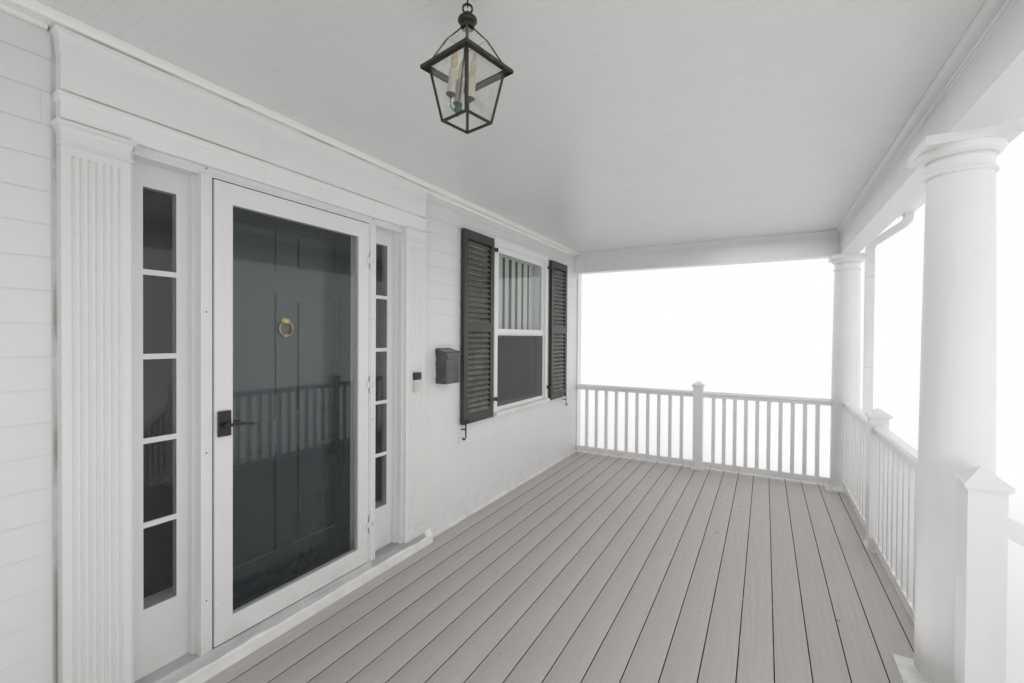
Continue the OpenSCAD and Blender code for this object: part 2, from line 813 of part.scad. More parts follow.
module sidelight_glass() {
    color("slategray") pair()
        block(side_in + side_stile, side_out - side_stile, side_glass_y - glass_t / 2, side_glass_y + glass_t / 2,
            deck_h + side_glass_foot, side_glass_top);
}

// Outline of a pilaster's crown as (distance from the shaft, height above the crown's foot)
cap_h = 41;
cap_line = concat([[-pilaster_t, 0], [0, 0], [2, 4]],
    [for (a = [0 : 22.5 : 90]) [2 + 9 * (1 - cos(a)), 4 + 22 * sin(a)]],
    [[14, 29], [14, cap_h], [-pilaster_t, cap_h]]);

// One fluted pilaster, drawn on x = 0 against the siding, its side to the door on the right
module pilaster() {
    half = pilaster_w / 2;
    face = siding_y - pilaster_t;
    pitch = (pilaster_w - 44) / flutes;
    flute_foot = sill_z + 60;
    flute_top = head_z - 76;
    difference() {
        block(-half, half, face, siding_y, sill_z, pilaster_top);
        for (i = [0 : flutes - 1])
            translate([(i - (flutes - 1) / 2) * pitch, face - 2, flute_foot])
                cylinder(h = flute_top - flute_foot, r = flute_r, $fn = 24);
    }
    block(-half - 6, half + 6, face - 6, frame_front - eps, head_z - 44, head_z - 37);
    difference() {
        translate([0, 0, pilaster_top - cap_h]) intersection() {
            translate([0, face, 0]) mirror([0, 1, 0]) along_x(-half - 20, half + 20) polygon(cap_line);
            along_y(face - 20, siding_y)
                polygon(concat([for (p = cap_line) [half + p[0], p[1]]],
                    [for (i = [len(cap_line) - 1 : -1 : 0]) [-half - cap_line[i][0], cap_line[i][1]]]));
        }
        block(half, half + 20, frame_front - eps, siding_y + eps, head_z - 50, pilaster_top + eps);
    }
}

module pilasters() {
    color("white") pair() mirror([1, 0, 0]) translate([-pilaster_x, 0, 0]) pilaster();
}

// A point of the entablature, as shares of the cornice's reach and of its height
function at_entab(out, up) = [pilaster_t + out * cornice_out, pilaster_top + up * (ceiling_z - pilaster_top)];

// Outline of the entablature as (distance from the siding, height): band, bead, frieze, cove and fillet
entab_line = concat(
    [[0, pilaster_top], at_entab(0, 0), at_entab(0, 0.19), at_entab(0.1, 0.2)],
    [for (a = [0 : 30 : 90]) at_entab(0.1 + 0.2 * sin(a), 0.2 + 0.045 * (1 - cos(a)))],
    [at_entab(0.4, 0.252), at_entab(0.4, 0.274), at_entab(0, 0.28), at_entab(0, 0.655), at_entab(0.12, 0.665)],
    [for (a = [0 : 15 : 90]) at_entab(0.12 + 0.5 * (1 - cos(a)), 0.675 + 0.165 * sin(a))],
    [at_entab(0.7, 0.845), at_entab(0.7, 0.885), at_entab(1, 0.892), at_entab(1, 1), [0, ceiling_z]]);

module entablature() {
    half = frame_half + pilaster_w - pilaster_t;
    side = concat([for (p = entab_line) [half + p[0], p[1]]],
        [for (i = [len(entab_line) - 1 : -1 : 0]) [-half - entab_line[i][0], entab_line[i][1]]]);
    color("white") intersection() {
        translate([0, siding_y, 0]) mirror([0, 1, 0]) along_x(-half - 200, half + 200) polygon(entab_line);
        along_y(siding_y - 200, siding_y + eps) polygon(side);
    }
}

module storm_door() {
    half = door_half - leaf_gap;
    z0 = sill_z + leaf_gap;
    z1 = head_z - leaf_gap;
    glass = half - storm_stile;
    color("white") {
        difference() {
            block(-half, half, storm_front, storm_front + storm_t, z0, z1);
            block(-glass, glass, storm_front - eps, storm_front + storm_t + eps, z0 + storm_foot, z1 - storm_top);
        }
        for (z = hinge_heights)
            hinge_moving(storm_hinge_x, storm_hinge_y, z, -26, storm_front - storm_hinge_y);
    }
}

module storm_door_glass() {
    half = door_half - leaf_gap - storm_stile;
    mid = storm_front + storm_t / 2;
    color("lightsteelblue") block(-half, half, mid - glass_t / 2, mid + glass_t / 2,
        sill_z + leaf_gap + storm_foot, head_z - leaf_gap - storm_top);
}

lever_x = -door_half + leaf_gap + 38;
lever_z = deck_h + 1082;

module storm_door_lock() {
    color("black") {
        difference() {
            block(lever_x - 26, lever_x + 26, storm_front - 14, storm_front, lever_z - 50, lever_z + 62);
            translate([lever_x, storm_front + eps, lever_z]) rotate([90, 0, 0])
                cylinder(h = 20, r = 8 + pin_gap, $fn = 32);
        }
    }
}

module storm_door_lever() {
    neck = 30;
    color("black") translate([lever_x, storm_front - pin_gap, lever_z]) rotate([90, 0, 0]) {
        cylinder(h = neck + 14, r = 8, $fn = 32);
        translate([0, 0, neck]) {
            cylinder(h = 14, r = 12, $fn = 32);
            translate([0, -7, 2]) cube([62, 14, 10]);
            translate([56, -7, 2]) rotate([0, 0, -8]) cube([56, 13, 10]);
        }
    }
}

// The entry door's panels: columns of two, rows of the heights given
module panel_fields(depth) {
    half = door_half - leaf_gap;
    stile = 115;
    mid = 100;
    field_w = half - stile - mid / 2;
    z0 = sill_z + leaf_gap;
    rows = [[230, 560], [930, 660], [1710, 240]];
    for (row = rows, side = [-1, 1])
        translate([side * (mid / 2 + field_w / 2), 0, z0 + row[0]])
            difference() {
                block(-field_w / 2, field_w / 2, -depth, depth, 0, row[1]);
                block(-field_w / 2 + 34, field_w / 2 - 34, -depth, depth, 34, row[1] - 34);
            }
}

module entry_door() {
    half = door_half - leaf_gap;
    color("darkslategray") {
        difference() {
            block(-half, half, entry_front, entry_back, sill_z + leaf_gap, head_z - leaf_gap);
            translate([0, entry_front, 0]) panel_fields(9);
            translate([0, entry_back, 0]) panel_fields(9);
        }
        for (z = hinge_heights)
            hinge_moving(entry_hinge_x, entry_hinge_y, z, -26, entry_back - entry_hinge_y);
    }
}

module entry_door_hardware() {
    knob_x = -door_half + leaf_gap + 62;
    knob_z = sill_z + 950;
    knock_z = sill_z + knocker_up;
    color("goldenrod") {
        for (side = [-1, 1])
            translate([knob_x, side < 0 ? entry_front : entry_back, knob_z]) rotate([-side * 90, 0, 0])
                rotate_extrude($fn = 48)
                    polygon([[0, 0], [30, 0], [30, 5], [12, 9], [12, 26], [24, 32], [27, 42], [20, 52], [0, 54]]);
        translate([0, entry_front, knock_z]) rotate([90, 0, 0]) {
            rotate_extrude($fn = 48) polygon([[0, 0], [24, 0], [24, 6], [14, 16], [0, 18]]);
            translate([0, -42, 10]) rotate_extrude($fn = 48) translate([38, 0]) circle(r = 5, $fn = 20);
            translate([0, -80, 0]) cylinder(h = 12, r = 9, $fn = 32);
        }
    }
}

// One sash: a frame with its glass left open
module sash(z0, z1, y0) {
    half = window_w / 2 - window_reveal;
    difference() {
        block(-half, half, y0, y0 + sash_t, z0, z1);
        block(-half + sash_w, half - sash_w, y0 - eps, y0 + sash_t + eps, z0 + sash_w, z1 - sash_w);
    }
}

upper_sash_y = siding_y + 4;
lower_sash_y = upper_sash_y + sash_t;

// The lining of a window's hole through the wall, drawn on x = 0
module window_lining() {
    half = window_w / 2;
    difference() {
        block(-half, half, siding_y, wall_back, win_z0, win_z1);
        block(-half + window_reveal, half - window_reveal, siding_y - eps, wall_back + eps,
            win_z0 + window_reveal, win_z1 - window_reveal);
    }
}

// A window's flat casing, head cap and sill, drawn on x = 0
module window_casing() {
    half = window_w / 2;
    difference() {
        block(-half - casing_w, half + casing_w, siding_y - trim_t, siding_y, win_z0, win_z1 + casing_w);
        block(-half + 4, half - 4, siding_y - trim_t - eps, siding_y + eps, win_z0 - eps, win_z1 - 4);
    }
    block(-half - casing_w, half + casing_w, siding_y - trim_t - 14, siding_y, win_z1 + casing_w, win_z1 + casing_w + 14);
    along_x(-half - casing_w, half + casing_w)
        polygon([[siding_y, win_z0 - 64], [siding_y - trim_t, win_z0 - 64], [siding_y - trim_t, win_z0 - 40],
            [siding_y - 52, win_z0 - 34], [siding_y - 52, win_z0 - 6], [siding_y, win_z0 + 4]]);
}

module window_frames() {
    color("white") pair() translate([window_x, 0, 0]) window_lining();
}

module window_casings() {
    color("white") pair() translate([window_x, 0, 0]) window_casing();
}

module window_sashes() {
    color("white") pair() translate([window_x, 0, 0]) {
        sash(win_mid - sash_w / 2, win_z1 - window_reveal, upper_sash_y);
        sash(win_z0 + window_reveal, win_mid + sash_w / 2, lower_sash_y);
    }
}

module window_glass() {
    half = window_w / 2 - window_reveal - sash_w;
    color("slategray") pair() translate([window_x, 0, 0]) {
        block(-half, half, upper_sash_y + 14, upper_sash_y + 14 + glass_t,
            win_mid + sash_w / 2, win_z1 - window_reveal - sash_w);
        block(-half, half, lower_sash_y + 14, lower_sash_y + 14 + glass_t,
            win_z0 + window_reveal + sash_w, win_mid - sash_w / 2);
    }
}

// A louvred shutter drawn on x = 0: a frame with a middle rail and tilted slats
module shutter() {
    half = shutter_w / 2;
    inner = half - shutter_stile;
    rail = 74;
    field = (shutter_h - 3 * rail) / 2;
    pitch = field / louvres;
    slat_t = 8;
    difference() {
        block(-half, half, shutter_front, shutter_back, shutter_z0, shutter_z0 + shutter_h);
        for (k = [0, 1])
            block(-inner, inner, shutter_front - eps, shutter_back + eps,
                shutter_z0 + rail + k * (field + rail), shutter_z0 + rail + field + k * (field + rail));
    }
    for (k = [0, 1], i = [0 : louvres - 1])
        translate([0, 0, shutter_z0 + rail + k * (field + rail) + (i + 0.5) * pitch])
            along_x(-inner - eps, inner + eps)
                polygon([[shutter_front + 4, -pitch / 2 + 1], [shutter_front + 4, -pitch / 2 + 1 + slat_t],
                    [shutter_back - 4, pitch / 2 - 1], [shutter_back - 4, pitch / 2 - 1 - slat_t]]);
}

module window_shutters() {
    for (side = [-1, 1]) translate([window_x + side * shutter_x, 0, 0]) shutter();
}

module shutters_right() { color("darkslategray") window_shutters(); }
module shutters_left() { color("darkslategray") mirror([1, 0, 0]) window_shutters(); }

// A scrolled holdback on a spindle from the wall, drawn at x = 0, z = 0
module holdback() {
    bar_t = 6;
    bar_w = 12;
    arm = 54;
    scroll_r = 27;
    spindle = shutter_front - siding_y - 6;
    translate([0, siding_y, 0]) rotate([90, 0, 0]) cylinder(h = -spindle, r = 6, $fn = 24);
    translate([0, siding_y + spindle + bar_t, 0]) rotate([90, 0, 0]) linear_extrude(bar_t) {
        translate([-bar_w / 2, -arm]) square([bar_w, 2 * arm]);
        for (turn = [0, 180]) rotate(turn) translate([scroll_r - bar_w / 2, -arm]) difference() {
            circle(r = scroll_r, $fn = 48);
            circle(r = scroll_r - bar_w, $fn = 48);
            translate([-scroll_r, 0]) square([2 * scroll_r, scroll_r + bar_w]);
        }
    }
}

// A strap hinge from the casing to the shutter's face, drawn at the shutter's inner edge
module strap_hinge() {
    block(-46, shutter_gap + 12, shutter_front - 4, shutter_front, -13, 13);
    block(shutter_gap, shutter_gap + 12, shutter_front - 4, siding_y - trim_t, -13, 13);
    translate([shutter_gap - 8, shutter_front - 6, -18]) cylinder(h = 36, r = 6, $fn = 24);
}

module shutter_hardware() {
    hinge_at = shutter_x - shutter_w / 2;
    hold_at = shutter_x + shutter_w / 2 - 24;
    color("black") pair() for (side = [0, 1]) translate([window_x, 0, 0]) mirror([side, 0, 0]) {
        for (z = [shutter_z0 + 150, shutter_z0 + shutter_h - 90])
            translate([hinge_at, 0, z]) mirror([1, 0, 0]) strap_hinge();
        translate([hold_at, 0, shutter_z0 - 40]) holdback();
    }
}

// The mailbox lid seen from its end, from the wall to the front, moved out and up
function lid_curve(out, up) = concat([[mail_pin_y, mail_pin_z + up]],
    [for (a = [0 : 30 : 90]) [mail_front + mail_bend - (mail_bend + out) * sin(a),
        mail_pin_z - mail_fall - mail_bend + (mail_bend + up) * cos(a)]]);

// The same line from the front to the wall
function lid_curve_back(out, up) = [for (i = [4 : -1 : 0]) lid_curve(out, up)[i]];

module mailbox() {
    color("dimgray") {
        difference() {
            along_x(mail_x, mail_x + mail_w)
                polygon(concat([[siding_y, mail_z], [mail_front, mail_z]], lid_curve_back(0, -12),
                    [[siding_y, mail_pin_z - 12]]));
            along_x(mail_x + mail_t, mail_x + mail_w - mail_t)
                polygon([[siding_y - mail_t, mail_z + mail_t], [mail_front + mail_t, mail_z + mail_t],
                    [mail_front + mail_t, mail_pin_z], [siding_y - mail_t, mail_pin_z + 10]]);
        }
        for (x = mail_ears)
            block(x, x + ear_w, mail_pin_y - 5, siding_y, mail_pin_z - 20, mail_pin_z + 5);
        translate([mail_x + 12, mail_pin_y, mail_pin_z]) rotate([0, 90, 0])
            cylinder(h = mail_w - 24, r = 2.5, $fn = 24);
    }
}

module mailbox_lid() {
    lip = 14;
    lid_x0 = mail_x - 7;
    lid_x1 = mail_x + mail_w + 7;
    front = mail_front - 8;
    side_z = mail_pin_z - mail_fall - mail_bend;
    flap_z = mail_pin_z - mail_fall - mail_flap;
    flap_in = 26;
    color("dimgray") difference() {
        union() {
            difference() {
                along_x(lid_x0, lid_x1)
                    polygon(concat(lid_curve(8, 3), [[front, side_z - lip]], lid_curve_back(-8, -18)));
                along_x(lid_x0 + 2, lid_x1 - 2)
                    polygon(concat(lid_curve(6, 1),
                        [[front + 2, side_z - 2 * lip], [mail_pin_y + 1, side_z - 2 * lip],
                            [mail_pin_y + 1, mail_pin_z + 1]]));
            }
            along_y(front, front + 2)
                polygon([[lid_x0, side_z - lip], [lid_x0 + flap_in, flap_z], [lid_x1 - flap_in, flap_z],
                    [lid_x1, side_z - lip], [lid_x1, side_z], [lid_x0, side_z]]);
            for (x = [mail_x + 24.6, mail_x + mail_w - 54.6])
                translate([x, mail_pin_y, mail_pin_z]) {
                    rotate([0, 90, 0]) cylinder(h = 30, r = 4.5, $fn = 24);
                    block(0, 30, -14, 0, 0, 2.5);
                }
        }
        translate([lid_x0 - 1, mail_pin_y, mail_pin_z]) rotate([0, 90, 0])
            cylinder(h = mail_w + 20, r = 2.5 + pin_gap, $fn = 24);
        for (x = mail_ears)
            block(x - eps, x + ear_w + eps, mail_pin_y - 9, siding_y, mail_pin_z - 25, mail_pin_z + 9);
    }
}

module doorbell() {
    bell_w = 60;
    bell_h = 130;
    bell_z = deck_h + 1105;
    face = siding_y - pilaster_t;
    split = bell_z + bell_h * 0.62;
    color("black") translate([pilaster_x, face, 0]) {
        block(-bell_w / 2, bell_w / 2, -24, 0, split, bell_z + bell_h);
        block(-bell_w / 2, bell_w / 2, -20, 0, bell_z, split + eps);
        translate([0, -19, bell_z + 36]) rotate([90, 0, 0]) cylinder(h = 4, r = 16, $fn = 32);
        translate([0, -23, split + 25]) rotate([90, 0, 0]) cylinder(h = 5, r = 12, $fn = 32);
    }
}

// Moves a piece of the lantern, drawn over its foot, to where it hangs
module at_lantern() {
    translate([lantern_x, lantern_y, lantern_z]) rotate([0, 0, lantern_turn]) children();
}

foot_half = lantern_foot / 2;
top_half = lantern_top / 2;
eave_half = lantern_eave / 2;
eave_z1 = lantern_h + 5;
tiers = [[0, foot_half, lantern_h, top_half],
    [eave_z1, eave_half - 13, eave_z1 + roof_break_h, eave_half * 0.45],
    [eave_z1 + roof_break_h, eave_half * 0.45, lantern_cap, eave_half * 0.14]];

// Half side of a tier at a height, and the part of a tier between two heights;
// tier is [foot height, half side there, top height, half side there]
function tier_half(tier, z) = tier[1] + (tier[3] - tier[1]) * (z - tier[0]) / (tier[2] - tier[0]);
function tier_cut(tier, z0, z1) = [z0, tier_half(tier, z0), z1, tier_half(tier, z1)];

// A block on the corner of a tapering square, between depths a and b below its two faces
module corner_wedge(tier, a, b) {
    shape = [[tier[1] - b, tier[0]], [tier[1] - a, tier[0]], [tier[3] - a, tier[2]], [tier[3] - b, tier[2]]];
    intersection() {
        along_x(0, lantern_eave) polygon(shape);
        along_y(0, lantern_eave) polygon(shape);
    }
}

// An angle bar on that corner
module corner_bar(tier, leg) {
    difference() {
        corner_wedge(tier, 0, leg);
        corner_wedge(tier_cut(tier, tier[0] - eps, tier[2] + eps), lantern_skin, leg + eps);
    }
}

// A square ring round the lantern from z0 to z1
module square_ring(outer, inner, z0, z1) {
    difference() {
        block(-outer, outer, -outer, outer, z0, z1);
        block(-inner, inner, -inner, inner, z0 - eps, z1 + eps);
    }
}

module lantern_frame() {
    color("darkolivegreen") at_lantern() {
        square_ring(foot_half, foot_half - lantern_bar, 0, lantern_skin * 2);
        square_ring(eave_half, top_half - lantern_bar / 2, lantern_h - seat, eave_z1);
        square_ring(eave_half, eave_half - lantern_skin, lantern_h - 5, eave_z1);
        for (turn = [0 : 90 : 270]) rotate([0, 0, turn]) {
            corner_bar(tiers[0], lantern_bar);
            corner_bar(tiers[1], lantern_bar * 0.6);
            corner_bar(tiers[2], lantern_bar * 0.6);
        }
        translate([0, 0, lantern_cap]) rotate_extrude($fn = 48)
            polygon(concat([[0, -4], [20, -4], [21, 0], [ball_r * 0.55, 4]],
                [for (a = [-50 : 20 : 70]) [ball_r * cos(a), ball_up + ball_half * sin(a)]],
                [[neck_r, ball_up + ball_half], [neck_r, ball_up + ball_half + 3], [0, ball_up + ball_half + 3]]));
    }
}

// A pane on the +y side of a tapering square, inside its angle bars
module lantern_pane(tier) {
    out = lantern_skin + seat;
    in = out + 2.5;
    side = in + seat;
    intersection() {
        along_x(-lantern_eave, lantern_eave)
            polygon([[tier[1] - in, tier[0]], [tier[1] - out, tier[0]], [tier[3] - out, tier[2]],
                [tier[3] - in, tier[2]]]);
        along_y(0, lantern_eave)
            polygon([[side - tier[1], tier[0]], [tier[1] - side, tier[0]], [tier[3] - side, tier[2]],
                [side - tier[3], tier[2]]]);
    }
}

module lantern_glass() {
    color("lightsteelblue") at_lantern() for (turn = [0 : 90 : 270]) rotate([0, 0, turn]) {
        lantern_pane(tier_cut(tiers[0], lantern_skin * 2, lantern_h - seat));
        lantern_pane(tier_cut(tiers[1], eave_z1, eave_z1 + roof_break_h));
        lantern_pane(tier_cut(tiers[2], eave_z1 + roof_break_h + 0.2, lantern_cap - 4));
    }
}

// Three candles on a hub under a bent rod, which hangs from the lantern's roof
module lantern_candles() {
    lean_to = 119 - lantern_turn;
    drop = lantern_cap - 4;
    hub_z = 30 - drop;
    cup_z = 66 - drop;
    arm = 32;
    sleeve_h = 74;
    sleeve_r = 12;
    bulb = [[0, 0], [7, 0], [11, 16], [10, 30], [5, 52], [1, 66], [0, 66]];
    color("ivory") at_lantern() translate([0, 0, drop]) rotate([0, 0, lean_to]) rotate([0, -candle_lean, 0]) {
        translate([0, 0, hub_z]) cylinder(h = -hub_z - 0.4, r = 2.5, $fn = 24);
        translate([0, 0, hub_z]) rotate_extrude($fn = 32)
            polygon([[0, -14], [3, -12], [4, -4], [11, 0], [13, 8], [9, 16], [0, 20]]);
        for (turn = [45 : 120 : 285]) rotate([0, 0, turn]) {
            translate([5, 0, hub_z + 5]) rotate([0, 36, 0]) cylinder(h = 40, r = 2.5, $fn = 24);
            translate([arm, 0, cup_z]) {
                translate([0, 0, -8]) rotate_extrude($fn = 32) polygon([[0, 0], [5, 0], [13, 10], [0, 10]]);
                cylinder(h = sleeve_h, r = sleeve_r, $fn = 32);
                translate([0, 0, sleeve_h - seat]) rotate_extrude($fn = 32) polygon(bulb);
            }
        }
    }
}

// A chain of flat rings, each crossing the next, from the lantern's ball up to an eye on the hook
module lantern_chain() {
    foot = lantern_z + lantern_cap + ball_up + ball_half + 3;
    span = hook_z - foot;
    eye_r = 16;
    rings = 2;
    ring_turn = -55;
    lap = 4.5;
    pitch = (span - eye_r - 5) / rings;
    color("darkolivegreen") translate([lantern_x, lantern_y, foot]) {
        cylinder(h = 8, r = neck_r, $fn = 24);
        for (i = [0 : rings - 1])
            translate([0, 0, (i + 0.5) * pitch + lap]) rotate([0, 0, ring_turn + i * 90]) chain_ring(pitch / 2 + lap);
        translate([0, 0, span]) rotate([0, 0, 90]) difference() {
            rotate([90, 0, 0]) translate([0, 0, -5]) cylinder(h = 10, r = eye_r, $fn = 32);
            rotate([90, 0, 0]) translate([0, 0, -6]) cylinder(h = 12, r = pin_r + pin_gap, $fn = 32);
        }
    }
}

// One ring of the chain, standing in the xz plane
module chain_ring(r) {
    rotate([90, 0, 0]) translate([0, 0, -2.5]) difference() {
        cylinder(h = 5, r = r, $fn = 32);
        translate([0, 0, -1]) cylinder(h = 7, r = r - 5, $fn = 32);
    }
}

module lantern_hook() {
    color("darkolivegreen") translate([lantern_x, lantern_y, 0]) {
        translate([0, 0, ceiling_z - 14]) rotate_extrude($fn = 48)
            polygon([[0, 0], [24, 0], [52, 8], [54, 14], [0, 14]]);
        for (side = [-1, 1])
            translate([side * 11 - 3, 0, 0]) block(0, 6, -6, 6, hook_z - 7, ceiling_z - 10);
        translate([-14, 0, hook_z]) rotate([0, 90, 0]) cylinder(h = 28, r = 4, $fn = 32);
    }
}

house_foundation();
porch_piers();
deck_frame();
deck_joists();
deck_floor();
deck_skirt();
stair_stringers();
stair_risers();
stair_treads();
stair_railings();
rail_posts();
railing_front_left();
railing_front_right();
railing_end_left();
railing_end_right();
columns_corner();
columns_stair();
front_beam();
end_beam_left();
end_beam_right();
ceiling_boards();
ceiling_crown();
roof_slab();
roof_ends();
fascia();
gutter();
downspout();
wall_left();
wall_right();
wall_over_door();
corner_boards();
threshold();
door_frame();
sidelight_glass();
pilasters();
entablature();
storm_door();
storm_door_glass();
storm_door_lock();
storm_door_lever();
entry_door();
entry_door_hardware();
window_frames();
window_casings();
window_sashes();
window_glass();
shutters_left();
shutters_right();
shutter_hardware();
mailbox();
mailbox_lid();
doorbell();
lantern_chain();
lantern_frame();
lantern_glass();
lantern_candles();
lantern_hook();
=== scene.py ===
import math
import random
import bmesh
import bpy
from mathutils import Matrix, Vector, noise as value_noise


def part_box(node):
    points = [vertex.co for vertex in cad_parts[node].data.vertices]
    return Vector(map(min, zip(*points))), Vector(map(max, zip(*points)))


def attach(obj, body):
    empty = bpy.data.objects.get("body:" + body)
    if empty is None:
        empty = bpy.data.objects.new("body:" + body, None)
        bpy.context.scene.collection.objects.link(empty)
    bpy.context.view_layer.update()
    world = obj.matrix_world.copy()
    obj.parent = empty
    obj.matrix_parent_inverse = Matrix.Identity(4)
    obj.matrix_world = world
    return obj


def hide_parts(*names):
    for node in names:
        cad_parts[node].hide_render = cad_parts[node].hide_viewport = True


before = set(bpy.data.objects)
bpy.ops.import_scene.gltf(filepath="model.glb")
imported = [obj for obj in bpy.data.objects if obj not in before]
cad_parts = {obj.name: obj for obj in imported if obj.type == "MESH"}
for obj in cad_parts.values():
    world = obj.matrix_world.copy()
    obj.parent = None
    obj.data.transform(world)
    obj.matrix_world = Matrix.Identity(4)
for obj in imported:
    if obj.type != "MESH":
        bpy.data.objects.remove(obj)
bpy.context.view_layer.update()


# The view. It is taken from under the porch roof, near the front railing and left of the
# stair, and looks along the house wall to the door through a wide lens, almost level.
camera_at = (-1.527, -2.223, 2.080)
turn, dip, tilt = math.radians(29.255), math.radians(0.5607), math.radians(0.3726)
ahead = Vector((math.cos(turn), math.sin(turn), 0))
right = Vector((math.sin(turn), -math.cos(turn), 0))
up = Vector((0, 0, 1))
ahead, up = ahead * math.cos(dip) - up * math.sin(dip), up * math.cos(dip) + ahead * math.sin(dip)
right, up = right * math.cos(tilt) + up * math.sin(tilt), up * math.cos(tilt) - right * math.sin(tilt)
camera = bpy.data.objects.new("camera", bpy.data.cameras.new("camera"))
camera.data.lens = 15.892
camera.data.sensor_width = 36
camera.data.clip_start = 0.02
camera.matrix_world = Matrix.Translation(camera_at) @ Matrix((right, up, -ahead)).transposed().to_4x4()
bpy.context.scene.collection.objects.link(camera)
bpy.context.scene.camera = camera


# The house foundation and the piers under the deck are laid concrete blocks in mortar.
# Their faces are rough and greyed, and the lowest courses are stained by splashing soil.
def add(tree, kind, sockets=None, **settings):
    """One shader node. A socket takes a plain value or another node's output."""
    node = tree.nodes.new("ShaderNode" + kind)
    for name, value in settings.items():
        setattr(node, name, value)
    for name, value in (sockets or {}).items():
        if isinstance(value, bpy.types.NodeSocket):
            tree.links.new(value, node.inputs[name])
        else:
            node.inputs[name].default_value = value
    return node


def calc(tree, operation, a, b=0.0, clamp=False):
    return add(tree, "Math", {0: a, 1: b}, operation=operation, use_clamp=clamp).outputs[0]


def times(tree, a, b):
    return calc(tree, "MULTIPLY", a, b)


def plus(tree, a, b):
    return calc(tree, "ADD", a, b)


def minus(tree, a, b):
    return calc(tree, "SUBTRACT", a, b)


def axes(tree, place):
    """The x, y and z of a place or a direction."""
    return add(tree, "SeparateXYZ", {0: place}).outputs


def drawn_out(tree, place, amounts):
    """A place whose pattern is made finer along each axis by an amount."""
    return add(tree, "VectorMath", {0: place, 1: amounts}, operation="MULTIPLY").outputs[0]


def tint(tree, share, a, b, blend="MIX"):
    """Colour a turning into colour b by a share from 0 to 1."""
    return add(tree, "Mix", {0: share, 6: a, 7: b}, data_type="RGBA", blend_type=blend).outputs[2]


def between(tree, value, low, high, first=0.0, last=1.0):
    """A value that goes from first to last while another goes from low to high."""
    return add(tree, "MapRange", {0: value, 1: low, 2: high, 3: first, 4: last},
               interpolation_type="SMOOTHSTEP").outputs[0]


def cloud(tree, place, scale, stretch=(1, 1, 1), detail=3.0, roughness=0.5):
    """Soft noise from 0 to 1 over the surface, drawn out along the axes with a small stretch."""
    return add(tree, "TexNoise", {"Vector": drawn_out(tree, place, stretch), "Scale": scale, "Detail": detail,
                                  "Roughness": roughness}).outputs["Fac"]


def blotches(tree, place, scale, low, high, first=0.0, last=1.0, **noise):
    """Patches in soft noise: first outside them, last inside, with their edge between two levels of the noise."""
    return between(tree, cloud(tree, place, scale, **noise), low, high, first, last)


def shader_group(name, inputs, outputs):
    """An effect that more than one finish uses, with its named sockets."""
    tree = bpy.data.node_groups.new(name, "ShaderNodeTree")
    for label, kind, value in inputs:
        tree.interface.new_socket(name=label, in_out="INPUT", socket_type="NodeSocket" + kind).default_value = value
    for label, kind in outputs:
        tree.interface.new_socket(name=label, in_out="OUTPUT", socket_type="NodeSocket" + kind)
    return tree, tree.nodes.new("NodeGroupInput").outputs, tree.nodes.new("NodeGroupOutput").inputs


def use(tree, group, **sockets):
    """A shader group placed in a material, with its own values."""
    node = add(tree, "Group", node_tree=group)
    for label, value in sockets.items():
        if isinstance(value, bpy.types.NodeSocket):
            tree.links.new(value, node.inputs[label])
        else:
            node.inputs[label].default_value = value
    return node.outputs


def new_finish(name):
    material = bpy.data.materials.new(name)
    material.use_nodes = True
    material.node_tree.nodes.clear()
    return material, material.node_tree, add(material.node_tree, "TexCoord").outputs["Object"]


def coat(tree, colour, roughness, height=None, depth=0.001, **fixed):
    """The surface itself. Height is a bump of the given depth in metres; the fixed values are plain numbers."""
    skin = add(tree, "BsdfPrincipled", {"Base Color": colour, "Roughness": roughness})
    for label, value in fixed.items():
        skin.inputs[label.replace("_", " ")].default_value = value
    if height is not None:
        bump = add(tree, "Bump", {"Height": height, "Strength": 1.0, "Distance": depth})
        tree.links.new(bump.outputs[0], skin.inputs["Normal"])
    out = add(tree, "OutputMaterial")
    tree.links.new(skin.outputs[0], out.inputs[0])
    return skin, out


def dress(material, *nodes):
    """Gives CAD nodes their finish."""
    for name in nodes:
        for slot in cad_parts[name].material_slots:
            slot.material = material


block_finish, tree, place = new_finish("concrete_block")
x_at, y_at, z_at = axes(tree, place)
course_place = add(tree, "CombineXYZ", {0: plus(tree, x_at, y_at), 1: z_at}).outputs[0]
mortar, earth = (0.30, 0.29, 0.27, 1), (0.20, 0.16, 0.12, 1)
blocks = add(tree, "TexBrick", {"Vector": course_place, "Scale": 1.0, "Brick Width": 0.4, "Row Height": 0.2,
                                "Color1": (0.40, 0.39, 0.37, 1), "Color2": (0.47, 0.46, 0.43, 1),
                                "Mortar": mortar, "Mortar Size": 0.005, "Mortar Smooth": 0.4})
pores = cloud(tree, place, 160, detail=2)
soil = times(tree, between(tree, z_at, 0.28, 0.0), blotches(tree, place, 6, 0.35, 0.7))
block_colour = tint(tree, blotches(tree, place, 3, 0.4, 0.75, 0, 0.35), blocks.outputs["Color"], mortar)
block_colour = tint(tree, soil, block_colour, earth)
block_height = minus(tree, times(tree, pores, 0.35), blocks.outputs["Fac"])
coat(tree, block_colour, 0.92, block_height, 0.004)
dress(block_finish, "house_foundation", "porch_piers")


